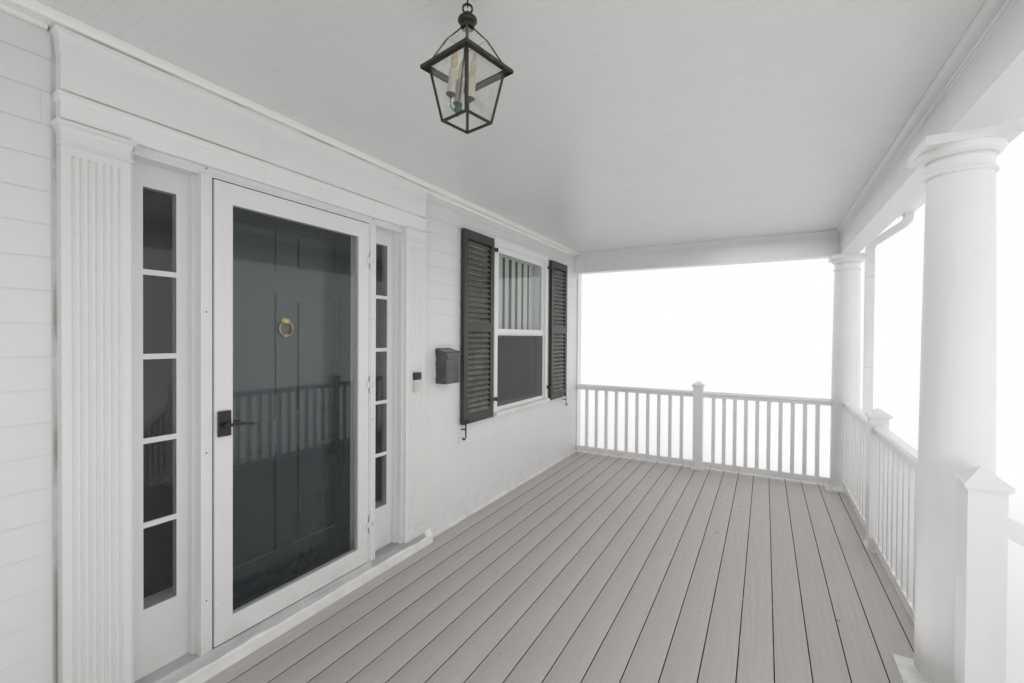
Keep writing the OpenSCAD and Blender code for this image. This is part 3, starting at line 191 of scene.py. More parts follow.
# The deck frame is treated softwood: rim boards on edge round the deck and joists between
# them, sawn rough and gone silver brown. The joists run front to back, the rims left to right.
grain_group, given, made = shader_group(
    "timber_grain",
    [("Place", "Vector", (0, 0, 0)), ("Light", "Color", (0.5, 0.4, 0.3, 1)), ("Dark", "Color", (0.3, 0.2, 0.15, 1)),
     ("Coarse", "Float", 1.0)],
    [("Colour", "Color"), ("Height", "Float")])
rings = add(grain_group, "TexNoise", {"Vector": given["Place"], "Scale": given["Coarse"], "Detail": 6.0,
                                      "Roughness": 0.62, "Distortion": 0.6}).outputs["Fac"]
fibres = add(grain_group, "TexNoise", {"Vector": given["Place"], "Scale": times(grain_group, given["Coarse"], 7.0),
                                       "Detail": 2.0}).outputs["Fac"]
grain_group.links.new(tint(grain_group, between(grain_group, rings, 0.34, 0.66), given["Light"], given["Dark"]),
                      made["Colour"])
grain_group.links.new(plus(grain_group, times(grain_group, rings, 0.6), times(grain_group, fibres, 0.4)),
                      made["Height"])


def timber_finish(name, stretch):
    material, tree, place = new_finish(name)
    grain = use(tree, grain_group, Place=drawn_out(tree, place, stretch), Light=(0.46, 0.36, 0.25, 1),
                Dark=(0.27, 0.20, 0.13, 1), Coarse=3.0)
    damp = blotches(tree, place, 2.2, 0.45, 0.75, 0, 0.5)
    coat(tree, tint(tree, damp, grain["Colour"], (0.20, 0.19, 0.17, 1)), 0.85, grain["Height"], 0.002)
    return material


dress(timber_finish("rim_timber", (0.6, 14, 14)), "deck_frame")
dress(timber_finish("joist_timber", (14, 0.6, 14)), "deck_joists")


# The deck boards are wood-plastic composite, 141 mm wide with 4 mm gaps, laid along the
# house and screwed from the side. Two boards set apart by an open joint run along the front edge.
def bar(bm, x0, x1, y0, y1, z0, z1, ease=0.0, steps=2):
    """A straight piece between two corners, with its edges eased."""
    middle = Matrix.Translation(((x0 + x1) / 2, (y0 + y1) / 2, (z0 + z1) / 2))
    corners = bmesh.ops.create_cube(bm, size=1,
                                    matrix=middle @ Matrix.Diagonal((x1 - x0, y1 - y0, z1 - z0, 1)))["verts"]
    if ease:
        edges = list({edge for corner in corners for edge in corner.link_edges})
        bmesh.ops.bevel(bm, geom=edges, offset=ease, offset_type="OFFSET", segments=steps, profile=0.5,
                        affect="EDGES", material=-1)


def make_piece(name, bm, material, stands_for=(), body="root", round_under=None):
    """Turns a finished bmesh into a piece that rides on a body."""
    bmesh.ops.recalc_face_normals(bm, faces=bm.faces)
    mesh = bpy.data.meshes.new(name)
    bm.to_mesh(mesh)
    bm.free()
    if round_under:
        mesh.shade_smooth()
        mesh.set_sharp_from_angle(angle=math.radians(round_under))
    mesh.materials.append(material)
    piece = bpy.data.objects.new(name, mesh)
    bpy.context.scene.collection.objects.link(piece)
    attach(piece, body)
    if stands_for:
        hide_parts(*stands_for)
    return piece


def facing_up(tree):
    """How far a face looks up: 1 on top, 0 on a side and -1 underneath."""
    return axes(tree, add(tree, "NewGeometry").outputs["Normal"])[2]


deck_low, deck_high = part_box("deck_floor")
board_w, board_gap, narrowest = 0.1412, 0.0038, 0.02
edge_board_w, edge_gap, edge_zone = 0.1175, 0.005, 0.240
joints_x, joint_gap, board_ease = (1.76, 2.19), 0.003, 0.0022
deck_finish, tree, place = new_finish("deck_composite")
x_at, y_at, z_at = axes(tree, place)
row = calc(tree, "FLOOR", calc(tree, "DIVIDE", minus(tree, y_at, deck_low.y + edge_zone), board_w + board_gap))
row_shade = add(tree, "TexWhiteNoise", {"W": row}, noise_dimensions="1D").outputs["Value"]
shifted = add(tree, "CombineXYZ", {0: plus(tree, times(tree, x_at, 1.1), times(tree, row, 3.7)),
                                   1: times(tree, y_at, 34.0), 2: times(tree, z_at, 34.0)}).outputs[0]
grain = use(tree, grain_group, Place=shifted, Light=(0.512, 0.487, 0.471, 1), Dark=(0.467, 0.441, 0.425, 1),
            Coarse=2.4)
deck_colour = tint(tree, times(tree, row_shade, 0.20), grain["Colour"], (0.403, 0.376, 0.358, 1))
worn = blotches(tree, place, 1.3, 0.42, 0.70, 0, 0.22, detail=5)
deck_colour = tint(tree, worn, deck_colour, (0.512, 0.487, 0.469, 1))
drops = add(tree, "TexVoronoi", {"Vector": place, "Scale": 5.0}).outputs["Distance"]
spot = times(tree, between(tree, drops, 0.085, 0.05), blotches(tree, place, 2.0, 0.50, 0.56))
deck_colour = tint(tree, times(tree, spot, 0.55), deck_colour, (0.12, 0.10, 0.08, 1))
bleached = add(tree, "TexVoronoi", {"Vector": place, "Scale": 3.3}).outputs["Distance"]
deck_colour = tint(tree, times(tree, between(tree, bleached, 0.06, 0.03), 0.5), deck_colour, (0.55, 0.52, 0.49, 1))
# The sides of the boards are painted near black: painted shade in the gaps between them.
painted_gap_shade = between(tree, facing_up(tree), 0.85, 0.45)
deck_colour = tint(tree, times(tree, painted_gap_shade, 0.85), deck_colour, (0.05, 0.043, 0.038, 1))
ribs = times(tree, cloud(tree, place, 60, stretch=(0.06, 1, 1), detail=2), 0.5)
coat(tree, deck_colour, between(tree, worn, 0.0, 0.22, 0.62, 0.74), plus(tree, grain["Height"], ribs), 0.0009,
     Specular_IOR_Level=0.35)
bm = bmesh.new()
rows = [(deck_low.y, deck_low.y + edge_board_w), (deck_low.y + edge_board_w + edge_gap, deck_low.y + edge_zone)]
y = deck_low.y + edge_zone + board_gap
while y < deck_high.y - narrowest:
    rows.append((y, min(y + board_w, deck_high.y)))
    y += board_w + board_gap
for number, (y0, y1) in enumerate(rows):
    joint = deck_low.x + joints_x[number % 2]
    for x0, x1 in ((deck_low.x, joint - joint_gap / 2), (joint + joint_gap / 2, deck_high.x)):
        bar(bm, x0, x1, y0, y1, deck_low.z, deck_high.z, board_ease)
make_piece("deck_floor_boards", bm, deck_finish, ["deck_floor"], round_under=40)


# The stair has white boxed sides and risers, and treads of two deck boards each that stand
# a little past their risers. The skirt that closes the space under the deck is grooved board.
paint_group, given, made = shader_group(
    "aged_paint",
    [("Place", "Vector", (0, 0, 0)), ("Brush", "Vector", (60, 60, 3)), ("Paint", "Color", (0.8, 0.8, 0.78, 1)),
     ("Grime", "Color", (0.42, 0.40, 0.35, 1)), ("Soiling", "Float", 0.3), ("Foot", "Float", 0.6)],
    [("Colour", "Color"), ("Roughness", "Float"), ("Height", "Float")])
high = axes(paint_group, given["Place"])[2]
patches = cloud(paint_group, given["Place"], 1.6, detail=5, roughness=0.6)
runs = cloud(paint_group, given["Place"], 7.0, stretch=(1, 1, 0.05), detail=4)
splash = times(paint_group, between(paint_group, minus(paint_group, high, given["Foot"]), 0.30, 0.0),
               blotches(paint_group, given["Place"], 9.0, 0.35, 0.75))
soiled = plus(paint_group, times(paint_group, between(paint_group, patches, 0.42, 0.78), 0.28),
              plus(paint_group, times(paint_group, between(paint_group, runs, 0.50, 0.80), 0.30), splash))
soiled = calc(paint_group, "MULTIPLY", soiled, given["Soiling"], clamp=True)
paint_group.links.new(tint(paint_group, soiled, given["Paint"], given["Grime"]), made["Colour"])
paint_group.links.new(between(paint_group, soiled, 0.0, 0.5, 0.36, 0.62), made["Roughness"])
brushed = drawn_out(paint_group, given["Place"], given["Brush"])
strokes = add(paint_group, "TexNoise", {"Vector": brushed, "Scale": 1.0, "Detail": 3.0}).outputs["Fac"]
paint_group.links.new(plus(paint_group, strokes, times(paint_group, patches, 1.5)), made["Height"])


def aged_paint(tree, place, brush, paint, grime, soiling, foot):
    return use(tree, paint_group, Place=place, Brush=brush, Paint=paint, Grime=grime, Soiling=soiling, Foot=foot)


def paint_finish(name, brush, paint=(0.80, 0.80, 0.797, 1), soiling=0.26, foot=0.6, depth=0.00035,
                 grime=(0.42, 0.40, 0.35, 1), duller=0.0):
    """Brushed or sprayed paint, with runs of dirt and splashes up from its foot, and less gloss where duller."""
    material, tree, place = new_finish(name)
    paint_out = aged_paint(tree, place, brush, paint, grime, soiling, foot)
    coat(tree, paint_out["Colour"], plus(tree, paint_out["Roughness"], duller), paint_out["Height"], depth)
    return material


upright_paint = paint_finish("trim_paint_upright", (70, 70, 3))
level_paint = paint_finish("trim_paint_level", (3, 70, 70))
stair_paint = paint_finish("stair_paint", (3, 60, 60), soiling=0.62, foot=0.0)
dress(stair_paint, "stair_stringers", "stair_risers")

skirt_finish, tree, place = new_finish("skirt_paint")
x_at, y_at = axes(tree, place)[:2]
along = calc(tree, "FRACT", calc(tree, "DIVIDE", plus(tree, x_at, y_at), 0.14))
groove = calc(tree, "MAXIMUM", between(tree, along, 0.03, 0.0), between(tree, along, 0.97, 1.0))
paint_out = aged_paint(tree, place, (60, 60, 3), (0.79, 0.79, 0.77, 1), (0.36, 0.33, 0.27, 1), 0.75, 0.0)
coat(tree, tint(tree, times(tree, groove, 0.75), paint_out["Colour"], (0.16, 0.15, 0.13, 1)), paint_out["Roughness"],
     minus(tree, times(tree, paint_out["Height"], 0.05), groove), 0.006)
dress(skirt_finish, "deck_skirt")

tread_low, tread_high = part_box("stair_treads")
rise, tread_t, tread_run, nosing, tread_gap = 0.150, 0.032, 0.280, 0.025, 0.005
tread_board_w = (tread_run + nosing - tread_gap) / 2
bm = bmesh.new()
for step in range(3):
    front, top = tread_low.y + step * tread_run, (step + 1) * rise
    for y in (front, front + tread_board_w + tread_gap):
        bar(bm, tread_low.x, tread_high.x, y, y + tread_board_w, top - tread_t, top, 0.005, 3)
make_piece("stair_tread_boards", bm, deck_finish, ["stair_treads"], round_under=40)


# The railings are hollow vinyl: square balusters let into a bottom rail and a shaped hand
# rail, between square post sleeves with pressed caps and collars. They are smooth and bright.
vinyl_finish = paint_finish("rail_vinyl", (14, 14, 14), (0.83, 0.83, 0.83, 1), 0.28, depth=0.00015,
                            grime=(0.45, 0.44, 0.38, 1), duller=-0.06)
dress(vinyl_finish, "railing_front_left", "railing_front_right", "railing_end_left", "railing_end_right",
      "rail_posts", "stair_railings")


# The columns are round wooden shafts with a slight swell, painted in place. Each stands on
# a flared foot over a square plate, and carries a turned neck and a square block under the beam.
column_finish, tree, place = new_finish("column_paint")
paint_out = aged_paint(tree, place, (40, 40, 2), (0.81, 0.81, 0.807, 1), (0.44, 0.42, 0.36, 1), 0.34, 0.6)
staves = cloud(tree, place, 5.0, stretch=(1, 1, 0.03), detail=2)
coat(tree, paint_out["Colour"], paint_out["Roughness"], plus(tree, paint_out["Height"], times(tree, staves, 2.0)),
     0.00035)
dress(column_finish, "columns_corner", "columns_stair")


# The beams over the columns are built up and cased in wide painted boards.
# A crown moulding runs round the ceiling where it meets the beams and the house.
no_splash = -5.0
beam_paint = paint_finish("beam_paint", (3, 60, 60), soiling=0.22, foot=no_splash)
beam_end_paint = paint_finish("beam_end_paint", (60, 3, 60), soiling=0.22, foot=no_splash)
dress(beam_paint, "front_beam", "ceiling_crown")
dress(beam_end_paint, "end_beam_left", "end_beam_right")


# The ceiling is beadboard: narrow tongued boards that run from the house to the front beam,
# each with a small round bead down its middle and a shallow groove at its joint, painted white.
def pick(geometry, kind):
    """Only the vertices, or only the edges, of what an operator gave back."""
    return [part for part in geometry if isinstance(part, kind)]


def sweep(bm, outline, along):
    """A flat outline drawn out to a solid."""
    face = bm.faces.new([bm.verts.new(point) for point in outline])
    grown = bmesh.ops.extrude_face_region(bm, geom=[face])["geom"]
    bmesh.ops.translate(bm, verts=pick(grown, bmesh.types.BMVert), vec=along)


bead_low, bead_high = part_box("ceiling_boards")
usual_bead_w, bead_t = 0.084, 0.018
count = round((bead_high.x - bead_low.x) / usual_bead_w)
bead_w = (bead_high.x - bead_low.x) / count
half = bead_w / 2
face_line = [(0, 0.0010), (0.0012, 0), (half - 0.004, 0), (half - 0.0030, 0.0006), (half - 0.0018, 0.0001),
             (half + 0.0018, 0.0001), (half + 0.0030, 0.0006), (half + 0.004, 0), (bead_w - 0.0012, 0),
             (bead_w, 0.0010), (bead_w, bead_t), (0, bead_t)]
bm = bmesh.new()
for number in range(count):
    x = bead_low.x + number * bead_w
    sweep(bm, [(x + dx, bead_low.y, bead_low.z + dz) for dx, dz in face_line], (0, bead_high.y - bead_low.y, 0))
ceiling_paint = paint_finish("ceiling_paint", (60, 3, 60), paint=(0.79, 0.79, 0.787, 1), soiling=0.20, foot=no_splash)
make_piece("ceiling_beadboard", bm, ceiling_paint, ["ceiling_boards"])


# The roof is covered with asphalt shingles in courses that show 143 mm, each cut into tabs
# 305 mm wide, over a metal drip edge at the eave and the ends. Mineral granules make them rough.
roof_low, roof_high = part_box("roof_slab")
pitch = math.radians(12)
roof_t = 0.110
eave_top = Vector((0, roof_low.y, roof_low.z + roof_t))
slope_len = (roof_high.y - roof_low.y) / math.cos(pitch)
show, tab_w, slot_w, head_lap, smallest_tab = 0.143, 0.305, 0.007, 0.02, 0.01
butt_top, head_top, tab_under = 0.006, 0.0012, 0.0005
course_count = int(slope_len / show)
bm = bmesh.new()
for course in range(course_count + 1):
    shift = (course % 2) * tab_w / 2
    s0 = course * show
    s1 = min(s0 + show + head_lap, slope_len)
    x = roof_low.x - shift
    while x < roof_high.x - 0.001:
        x0, x1 = max(x + slot_w / 2, roof_low.x), min(x + tab_w - slot_w / 2, roof_high.x)
        x += tab_w
        if x1 - x0 < smallest_tab or s1 - s0 < head_lap:
            continue
        sweep(bm, [(x0, s0, tab_under), (x0, s0, butt_top), (x0, s1, head_top), (x0, s1, tab_under)], (x1 - x0, 0, 0))
lay = Matrix.Translation(eave_top) @ Matrix.Rotation(pitch, 4, "X")
bmesh.ops.transform(bm, matrix=lay, verts=bm.verts)
shingle_finish, tree, place = new_finish("roof_shingle")
x_at, y_at = axes(tree, place)[:2]
up_slope = calc(tree, "DIVIDE", minus(tree, y_at, eave_top.y - 0.001), math.cos(pitch) * show)
course_no = calc(tree, "FLOOR", up_slope)
tab_shift = times(tree, calc(tree, "MODULO", course_no, 2.0), 0.5)
tab_no = calc(tree, "FLOOR", plus(tree, calc(tree, "DIVIDE", minus(tree, x_at, roof_low.x), tab_w), tab_shift))
tab_shade = add(tree, "TexWhiteNoise", {"Vector": add(tree, "CombineXYZ", {0: tab_no, 1: course_no}).outputs[0]},
                noise_dimensions="3D").outputs["Value"]
granules = add(tree, "TexVoronoi", {"Vector": place, "Scale": 420.0})
granule_colour = tint(tree, between(tree, granules.outputs["Color"], 0.2, 0.9), (0.055, 0.055, 0.058, 1),
                      (0.17, 0.165, 0.16, 1))
shingle_colour = tint(tree, between(tree, tab_shade, 0.0, 1.0, 0.0, 0.45), granule_colour, (0.035, 0.036, 0.040, 1))
algae = times(tree, blotches(tree, place, 3.0, 0.52, 0.75, stretch=(1, 0.12, 1)), 0.5)
coat(tree, tint(tree, algae, shingle_colour, (0.13, 0.135, 0.11, 1)), 0.93,
     times(tree, granules.outputs["Distance"], -1.0), 0.002)
make_piece("roof_shingle_tabs", bm, shingle_finish)
dress(shingle_finish, "roof_slab")

bm = bmesh.new()
sheet_t, drip_out, drip_fall, drip_top = 0.0015, 0.022, 0.0135, eave_top.z - 0.0225
drip_y = roof_low.y - drip_out
bar(bm, roof_low.x, roof_high.x, drip_y, roof_low.y + 0.004, drip_top - sheet_t, drip_top)
bar(bm, roof_low.x, roof_high.x, drip_y, drip_y + sheet_t, drip_top - drip_fall, drip_top)
rake_top, rake_foot = 0.002, 0.07
for x in (roof_low.x, roof_high.x - sheet_t):
    sweep(bm, [(x, roof_low.y, eave_top.z - rake_foot), (x, roof_high.y, roof_high.z - rake_foot),
               (x, roof_high.y, roof_high.z - rake_top), (x, roof_low.y, eave_top.z - rake_top)], (sheet_t, 0, 0))
sheet_finish = paint_finish("coated_sheet_metal", (6, 30, 30), (0.80, 0.80, 0.79, 1), 0.45, 0.0, 0.0002,
                            (0.30, 0.29, 0.25, 1), -0.08)
make_piece("roof_drip_edge", bm, sheet_finish)
dress(level_paint, "fascia")


# The gutter is folded from coated aluminium sheet, hung from the fascia by straps across its
# trough, and drains through a ribbed square pipe beside the right corner column.
gutter_low, gutter_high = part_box("gutter")
bm = bmesh.new()
strap_count, strap_w, first_strap, strap_edge = 14, 0.024, 0.25, 0.0008
strap_y = (gutter_low.y + 0.004, gutter_high.y - 0.002)
strap_z = (gutter_high.z - 0.012, gutter_high.z - 0.0095)
strap_pitch = (gutter_high.x - gutter_low.x - 2 * first_strap) / (strap_count - 1)
for number in range(strap_count):
    x = gutter_low.x + first_strap + number * strap_pitch
    bar(bm, x - strap_w / 2, x + strap_w / 2, *strap_y, *strap_z, strap_edge, 1)
make_piece("gutter_straps", bm, sheet_finish)
dress(sheet_finish, "gutter")
pipe_finish, tree, place = new_finish("downspout_sheet")
paint_out = aged_paint(tree, place, (30, 30, 6), (0.79, 0.79, 0.78, 1), (0.30, 0.28, 0.23, 1), 0.6, 0.0)
x_at, _, z_at = axes(tree, place)
rib_pitch, pipe_len = 0.019, 0.9
folds = calc(tree, "SINE", times(tree, x_at, 2 * math.pi / rib_pitch))
seam = between(tree, calc(tree, "FRACT", calc(tree, "DIVIDE", z_at, pipe_len)), 0.012, 0.0)
coat(tree, tint(tree, times(tree, seam, 0.4), paint_out["Colour"], (0.3, 0.3, 0.28, 1)), paint_out["Roughness"],
     plus(tree, times(tree, folds, 0.5), seam), 0.0022)
dress(pipe_finish, "downspout")


# The house wall is clad in painted clapboards that lap over each other and show 116 mm right of
# the door and 111 mm left of it. They butt against the corner boards, the window casings and
# the door surround, over a narrow strip along the deck.
siding_y, siding_back = -0.100, -0.099
lap, left_lap, butt_out, tip_out = 0.116, 0.1113, 0.0064, 0.0018
wall_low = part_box("wall_right")[0]
foot_z, left_foot_z, head_z = wall_low.z + 0.023, wall_low.z - 0.0411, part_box("ceiling_boards")[0].z - 0.001
casing_low, casing_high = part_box("window_casings")
pilaster_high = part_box("pilasters")[1]
entab_low, entab_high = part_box("entablature")
corner_board_w, casing_w, wall_end = 0.120, 1.128, 4.06
corner_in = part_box("corner_boards")[1].x - corner_board_w
window_gap = (casing_high.x - casing_w, casing_high.x, casing_low.z, casing_high.z)
shortest_board, touching, far_off = 0.002, 1e-6, 9.0
mail_gaps = [(1.108, 1.271, 1.734, 1.940), (1.098, 1.281, 1.940, 2.002)]
side_gaps = [(0, pilaster_high.x, 0, far_off), window_gap, (corner_in, far_off, 0, far_off)]


def lay_clapboards(bm, side):
    """The courses right of the door, or left of it, cut round everything that stands in them."""
    course = 0
    start, show = (foot_z, lap) if side > 0 else (left_foot_z, left_lap)
    while start + course * show < head_z:
        z0 = start + course * show
        z1 = min(z0 + show, head_z)
        edges = {edge for gap in side_gaps + mail_gaps for edge in gap[2:] if max(z0, foot_z) < edge < z1}
        levels = sorted({max(z0, foot_z), z1} | edges)
        for low, high in zip(levels, levels[1:]):
            spans = [(0.0, wall_end)]
            for gap in side_gaps + (mail_gaps if side > 0 else []):
                if gap[2] < high - touching and gap[3] > low + touching:
                    spans = [span for a, b in spans for span in ((a, min(b, gap[0])), (max(a, gap[1]), b))
                             if span[1] - span[0] > shortest_board]
            out = [siding_y - butt_out + (butt_out - tip_out) * (z - z0) / show for z in (low, high)]
            for a, b in spans:
                x = side * a
                sweep(bm, [(x, siding_back, low), (x, out[0], low), (x, out[1], high), (x, siding_back, high)],
                      (side * (b - a), 0, 0))
        course += 1


def clapboard_paint(name, start, show):
    """Wall paint with a painted shadow under each lap, boards of slightly different age and fine end joints."""
    material, tree, place = new_finish(name)
    # The wall's white is darker than the trim's: painted shade for the shade under the roof.
    paint_out = aged_paint(tree, place, (2.5, 60, 60), (0.735, 0.737, 0.737, 1), (0.50, 0.49, 0.45, 1), 0.28, 0.6)
    x_at, y_at, z_at = axes(tree, place)
    course = calc(tree, "DIVIDE", minus(tree, z_at, start), show)
    # A painted shadow under the butt of each lap.
    painted_lap_shadow = times(tree, between(tree, calc(tree, "FRACT", course), 0.93, 1.0), 0.10)
    along = plus(tree, calc(tree, "DIVIDE", x_at, 2.44), times(tree, calc(tree, "FLOOR", course), 0.37))
    board = add(tree, "CombineXYZ", {0: calc(tree, "FLOOR", course), 1: calc(tree, "FLOOR", along)}).outputs[0]
    board_shade = add(tree, "TexWhiteNoise", {"Vector": board}, noise_dimensions="3D").outputs["Value"]
    end_joint = between(tree, calc(tree, "FRACT", along), 0.0012, 0.0004)
    colour = tint(tree, times(tree, board_shade, 0.05), paint_out["Colour"], (0.52, 0.52, 0.50, 1))
    colour = tint(tree, calc(tree, "MAXIMUM", painted_lap_shadow, times(tree, end_joint, 0.25)), colour,
                  (0.24, 0.235, 0.22, 1))
    # Beside the door surround: painted shadow in the corner, with patches of dirt.
    trim_dirt_and_shadow = times(tree, between(tree, calc(tree, "ABSOLUTE", x_at), 0.952, 0.938),
                        between(tree, y_at, -0.090, -0.098))
    trim_dirt_and_shadow = times(tree, trim_dirt_and_shadow,
                        blotches(tree, place, 9, 0.38, 0.62, 0.15, 0.8, stretch=(1, 1, 0.4), detail=4))
    colour = tint(tree, trim_dirt_and_shadow, colour, (0.20, 0.205, 0.18, 1))
    wood_lift = cloud(tree, place, 26, stretch=(0.05, 1, 1), detail=4)
    coat(tree, colour, plus(tree, paint_out["Roughness"], 0.05), plus(tree, paint_out["Height"], wood_lift), 0.0005)
    return material


siding_finish = clapboard_paint("clapboard_paint", foot_z, lap)
left_siding_finish = clapboard_paint("clapboard_paint_left", left_foot_z, left_lap)
for name, side, finish in (("right", 1, siding_finish), ("left", -1, left_siding_finish)):
    bm = bmesh.new()
    lay_clapboards(bm, side)
    make_piece("clapboards_" + name, bm, finish)
dress(siding_finish, "wall_right", "wall_over_door")
dress(left_siding_finish, "wall_left")
sill_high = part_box("threshold")[1]
foot_strip_t, foot_strip_h = 0.015, 0.033
bm = bmesh.new()
for side in (-1, 1):
    x0, x1 = sorted((side * sill_high.x, side * corner_in))
    bar(bm, x0, x1, siding_y - foot_strip_t, siding_y, wall_low.z, wall_low.z + foot_strip_h, 0.003)
make_piece("wall_foot_strip", bm, level_paint, round_under=40)

bm = bmesh.new()
panel_low, panel_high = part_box("roof_ends")
panel_x, panel_y, z = panel_high.x, panel_low.y, panel_low.z
panel_in = panel_x - 0.001
while z < panel_high.z:
    sweep(bm, [(panel_in, panel_y, z), (panel_x + butt_out, panel_y, z), (panel_x + tip_out, panel_y, z + lap),
               (panel_in, panel_y, z + lap)], (0, panel_high.y - panel_y, 0))
    z += lap
roof_under = Vector((0, panel_low.y, roof_low.z + (panel_low.y - roof_low.y) * math.tan(pitch) - 0.001))
cut = bmesh.ops.bisect_plane(bm, geom=bm.verts[:] + bm.edges[:] + bm.faces[:], plane_co=roof_under,
                             plane_no=(0, -math.sin(pitch), math.cos(pitch)), clear_outer=True)
bmesh.ops.edgenet_fill(bm, edges=pick(cut["geom_cut"], bmesh.types.BMEdge))
twin = bmesh.ops.duplicate(bm, geom=bm.verts[:] + bm.edges[:] + bm.faces[:])["geom"]
bmesh.ops.scale(bm, vec=(-1, 1, 1), verts=pick(twin, bmesh.types.BMVert))
make_piece("roof_end_clapboards", bm, siding_finish)
dress(siding_finish, "roof_ends")


# The corner boards, the door frame with its posts, and the pilasters are planed pine, painted.
# The pilasters are grooved with seven round flutes each and carry the mouldings over the door.
# The door surround's white is darker than the other trim's: painted shade, over heavier dirt.
trim_soiled_and_shaded = paint_finish("door_trim_paint_shaded", (70, 70, 3), paint=(0.74, 0.74, 0.737, 1), soiling=0.36, depth=0.00045)
dress(upright_paint, "corner_boards")
dress(trim_soiled_and_shaded, "door_frame", "pilasters")

entab_finish, tree, place = new_finish("entablature_paint")
paint_out = aged_paint(tree, place, (3, 70, 70), (0.80, 0.80, 0.797, 1), (0.42, 0.40, 0.35, 1), 0.26, 0.6)
x_at, y_at, z_at = axes(tree, place)
sideways = calc(tree, "ABSOLUTE", x_at)
patchy = blotches(tree, place, 4, 0.36, 0.60, 0.35, 1.0, detail=5)
entab_h = entab_high.z - entab_low.z


def dust_and_shade_band(low, high):
    """Painted shade with dust between two heights, given as shares of the entablature's own height."""
    z = [entab_low.z + entab_h * share for share in (low, high)]
    return times(tree, between(tree, z_at, z[0], z[0] + 0.0008), between(tree, z_at, z[1], z[1] - 0.004))


# Dark lines over the bead, over the capitals and at the ends: painted shade in crevices, with dust. Under the strip:
# painted shadow.
dust_and_shade_over_bead = dust_and_shade_band(0.279, 0.312)
cap_in, surround_end = 0.745, 0.952
dust_and_shade_over_cap = times(tree, dust_and_shade_band(-0.002, 0.032), between(tree, sideways, cap_in - 0.002, cap_in + 0.002))
shadow_under_strip = dust_and_shade_band(0.868, 0.893)
dust_and_shade_at_end = times(tree, between(tree, sideways, surround_end - 0.012, surround_end), between(tree, y_at, -0.135, -0.112))
crevice_dust_and_shade = dust_and_shade_over_bead
for dust in (dust_and_shade_over_cap, shadow_under_strip, dust_and_shade_at_end):
    crevice_dust_and_shade = calc(tree, "MAXIMUM", crevice_dust_and_shade, dust)
crevice_dust_and_shade = times(tree, crevice_dust_and_shade, patchy)
coat(tree, tint(tree, times(tree, crevice_dust_and_shade, 0.75), paint_out["Colour"], (0.27, 0.27, 0.235, 1)),
     paint_out["Roughness"], paint_out["Height"], 0.00035)
dress(entab_finish, "entablature")
# The strip is painted a brighter white than the other trim: a painted highlight.
strip_highlight_paint = paint_finish("ceiling_strip_highlight_paint", (3, 70, 70), paint=(0.90, 0.90, 0.885, 1), soiling=0.10,
                           foot=no_splash)
strip_y, strip_z, strip_end = entab_low.y - 0.0035, entab_high.z - 0.037, 3.87
strip_t, strip_edge, overlap, fill_y, fill_z = 0.020, 0.003, 0.002, strip_y + 0.016, strip_z + 0.003
mould_y, mould_low, mould_high, mould_edge = siding_y - 0.024, strip_z - 0.014, strip_z + 0.004, 0.004
bm = bmesh.new()
bar(bm, -strip_end, strip_end, strip_y, strip_y + strip_t, strip_z, bead_low.z, strip_edge)
for side in (-1, 1):
    x0, x1 = sorted((side * (entab_high.x - overlap), side * strip_end))
    bar(bm, x0, x1, fill_y, siding_y - overlap, fill_z, bead_low.z)
    bar(bm, x0, x1, mould_y, siding_y - overlap, mould_low, mould_high, mould_edge)
make_piece("ceiling_strip", bm, strip_highlight_paint, round_under=40)


# The threshold is a painted oak sill over a white riser. On its sloped top the paint gives way to grey
# bare wood: in patches across the doorway and to its left, and all along to its right.
sill_finish, tree, place = new_finish("threshold_paint")
paint_out = aged_paint(tree, place, (3, 60, 60), (0.80, 0.80, 0.78, 1), (0.40, 0.39, 0.36, 1), 0.4, 0.5)
grain = use(tree, grain_group, Place=drawn_out(tree, place, (1.0, 22, 22)), Light=(0.39, 0.405, 0.405, 1),
            Dark=(0.30, 0.315, 0.315, 1), Coarse=3.0)
x_at, y_at, z_at = axes(tree, place)
ragged = times(tree, minus(tree, cloud(tree, place, 14, stretch=(0.3, 1, 1), detail=5), 0.5), 0.025)
inward = plus(tree, y_at, ragged)
on_slope = times(tree, between(tree, inward, -0.150, -0.142), between(tree, z_at, 0.652, 0.662))
sideways = plus(tree, x_at, ragged)
beside_leaf = times(tree, between(tree, sideways, 0.43, 0.47), between(tree, sideways, 0.98, 0.94))
in_front = between(tree, x_at, 0.50, 0.46)
patches_before_door = times(tree, in_front, blotches(tree, place, 5, 0.30, 0.70, 0.60, 0.90, detail=5))
bare_grey_wood = times(tree, on_slope, calc(tree, "MAXIMUM", beside_leaf, patches_before_door))
coat(tree, tint(tree, bare_grey_wood, paint_out["Colour"], grain["Colour"]),
     plus(tree, paint_out["Roughness"], times(tree, bare_grey_wood, 0.3)),
     minus(tree, times(tree, grain["Height"], 0.4), bare_grey_wood), 0.0008)
dress(sill_finish, "threshold")


# All glass is plain window glass, a little green at its edges, and daylight falls through it.
# Behind each window and sidelight stands a matt black sheet: painted shadow for the dark rooms.
def glass_finish(name, colour, roughness=0.0):
    material, tree, place = new_finish(name)
    dust = blotches(tree, place, 5.0, 0.45, 0.8, detail=6, roughness=0.7)
    smear = plus(tree, times(tree, dust, 0.05), roughness)
    waves = cloud(tree, place, 1.4, detail=1)
    skin, out = coat(tree, tint(tree, times(tree, dust, 0.12), colour, (0.75, 0.75, 0.72, 1)), smear, waves, 0.0006,
                     Transmission_Weight=1.0, IOR=1.45)
    clear = add(tree, "BsdfTransparent", {"Color": (0.90, 0.93, 0.92, 1)})
    shadow = add(tree, "LightPath").outputs["Is Shadow Ray"]
    tree.links.new(add(tree, "MixShader", {0: shadow, 1: skin.outputs[0], 2: clear.outputs[0]}).outputs[0],
                   out.inputs[0])
    return material


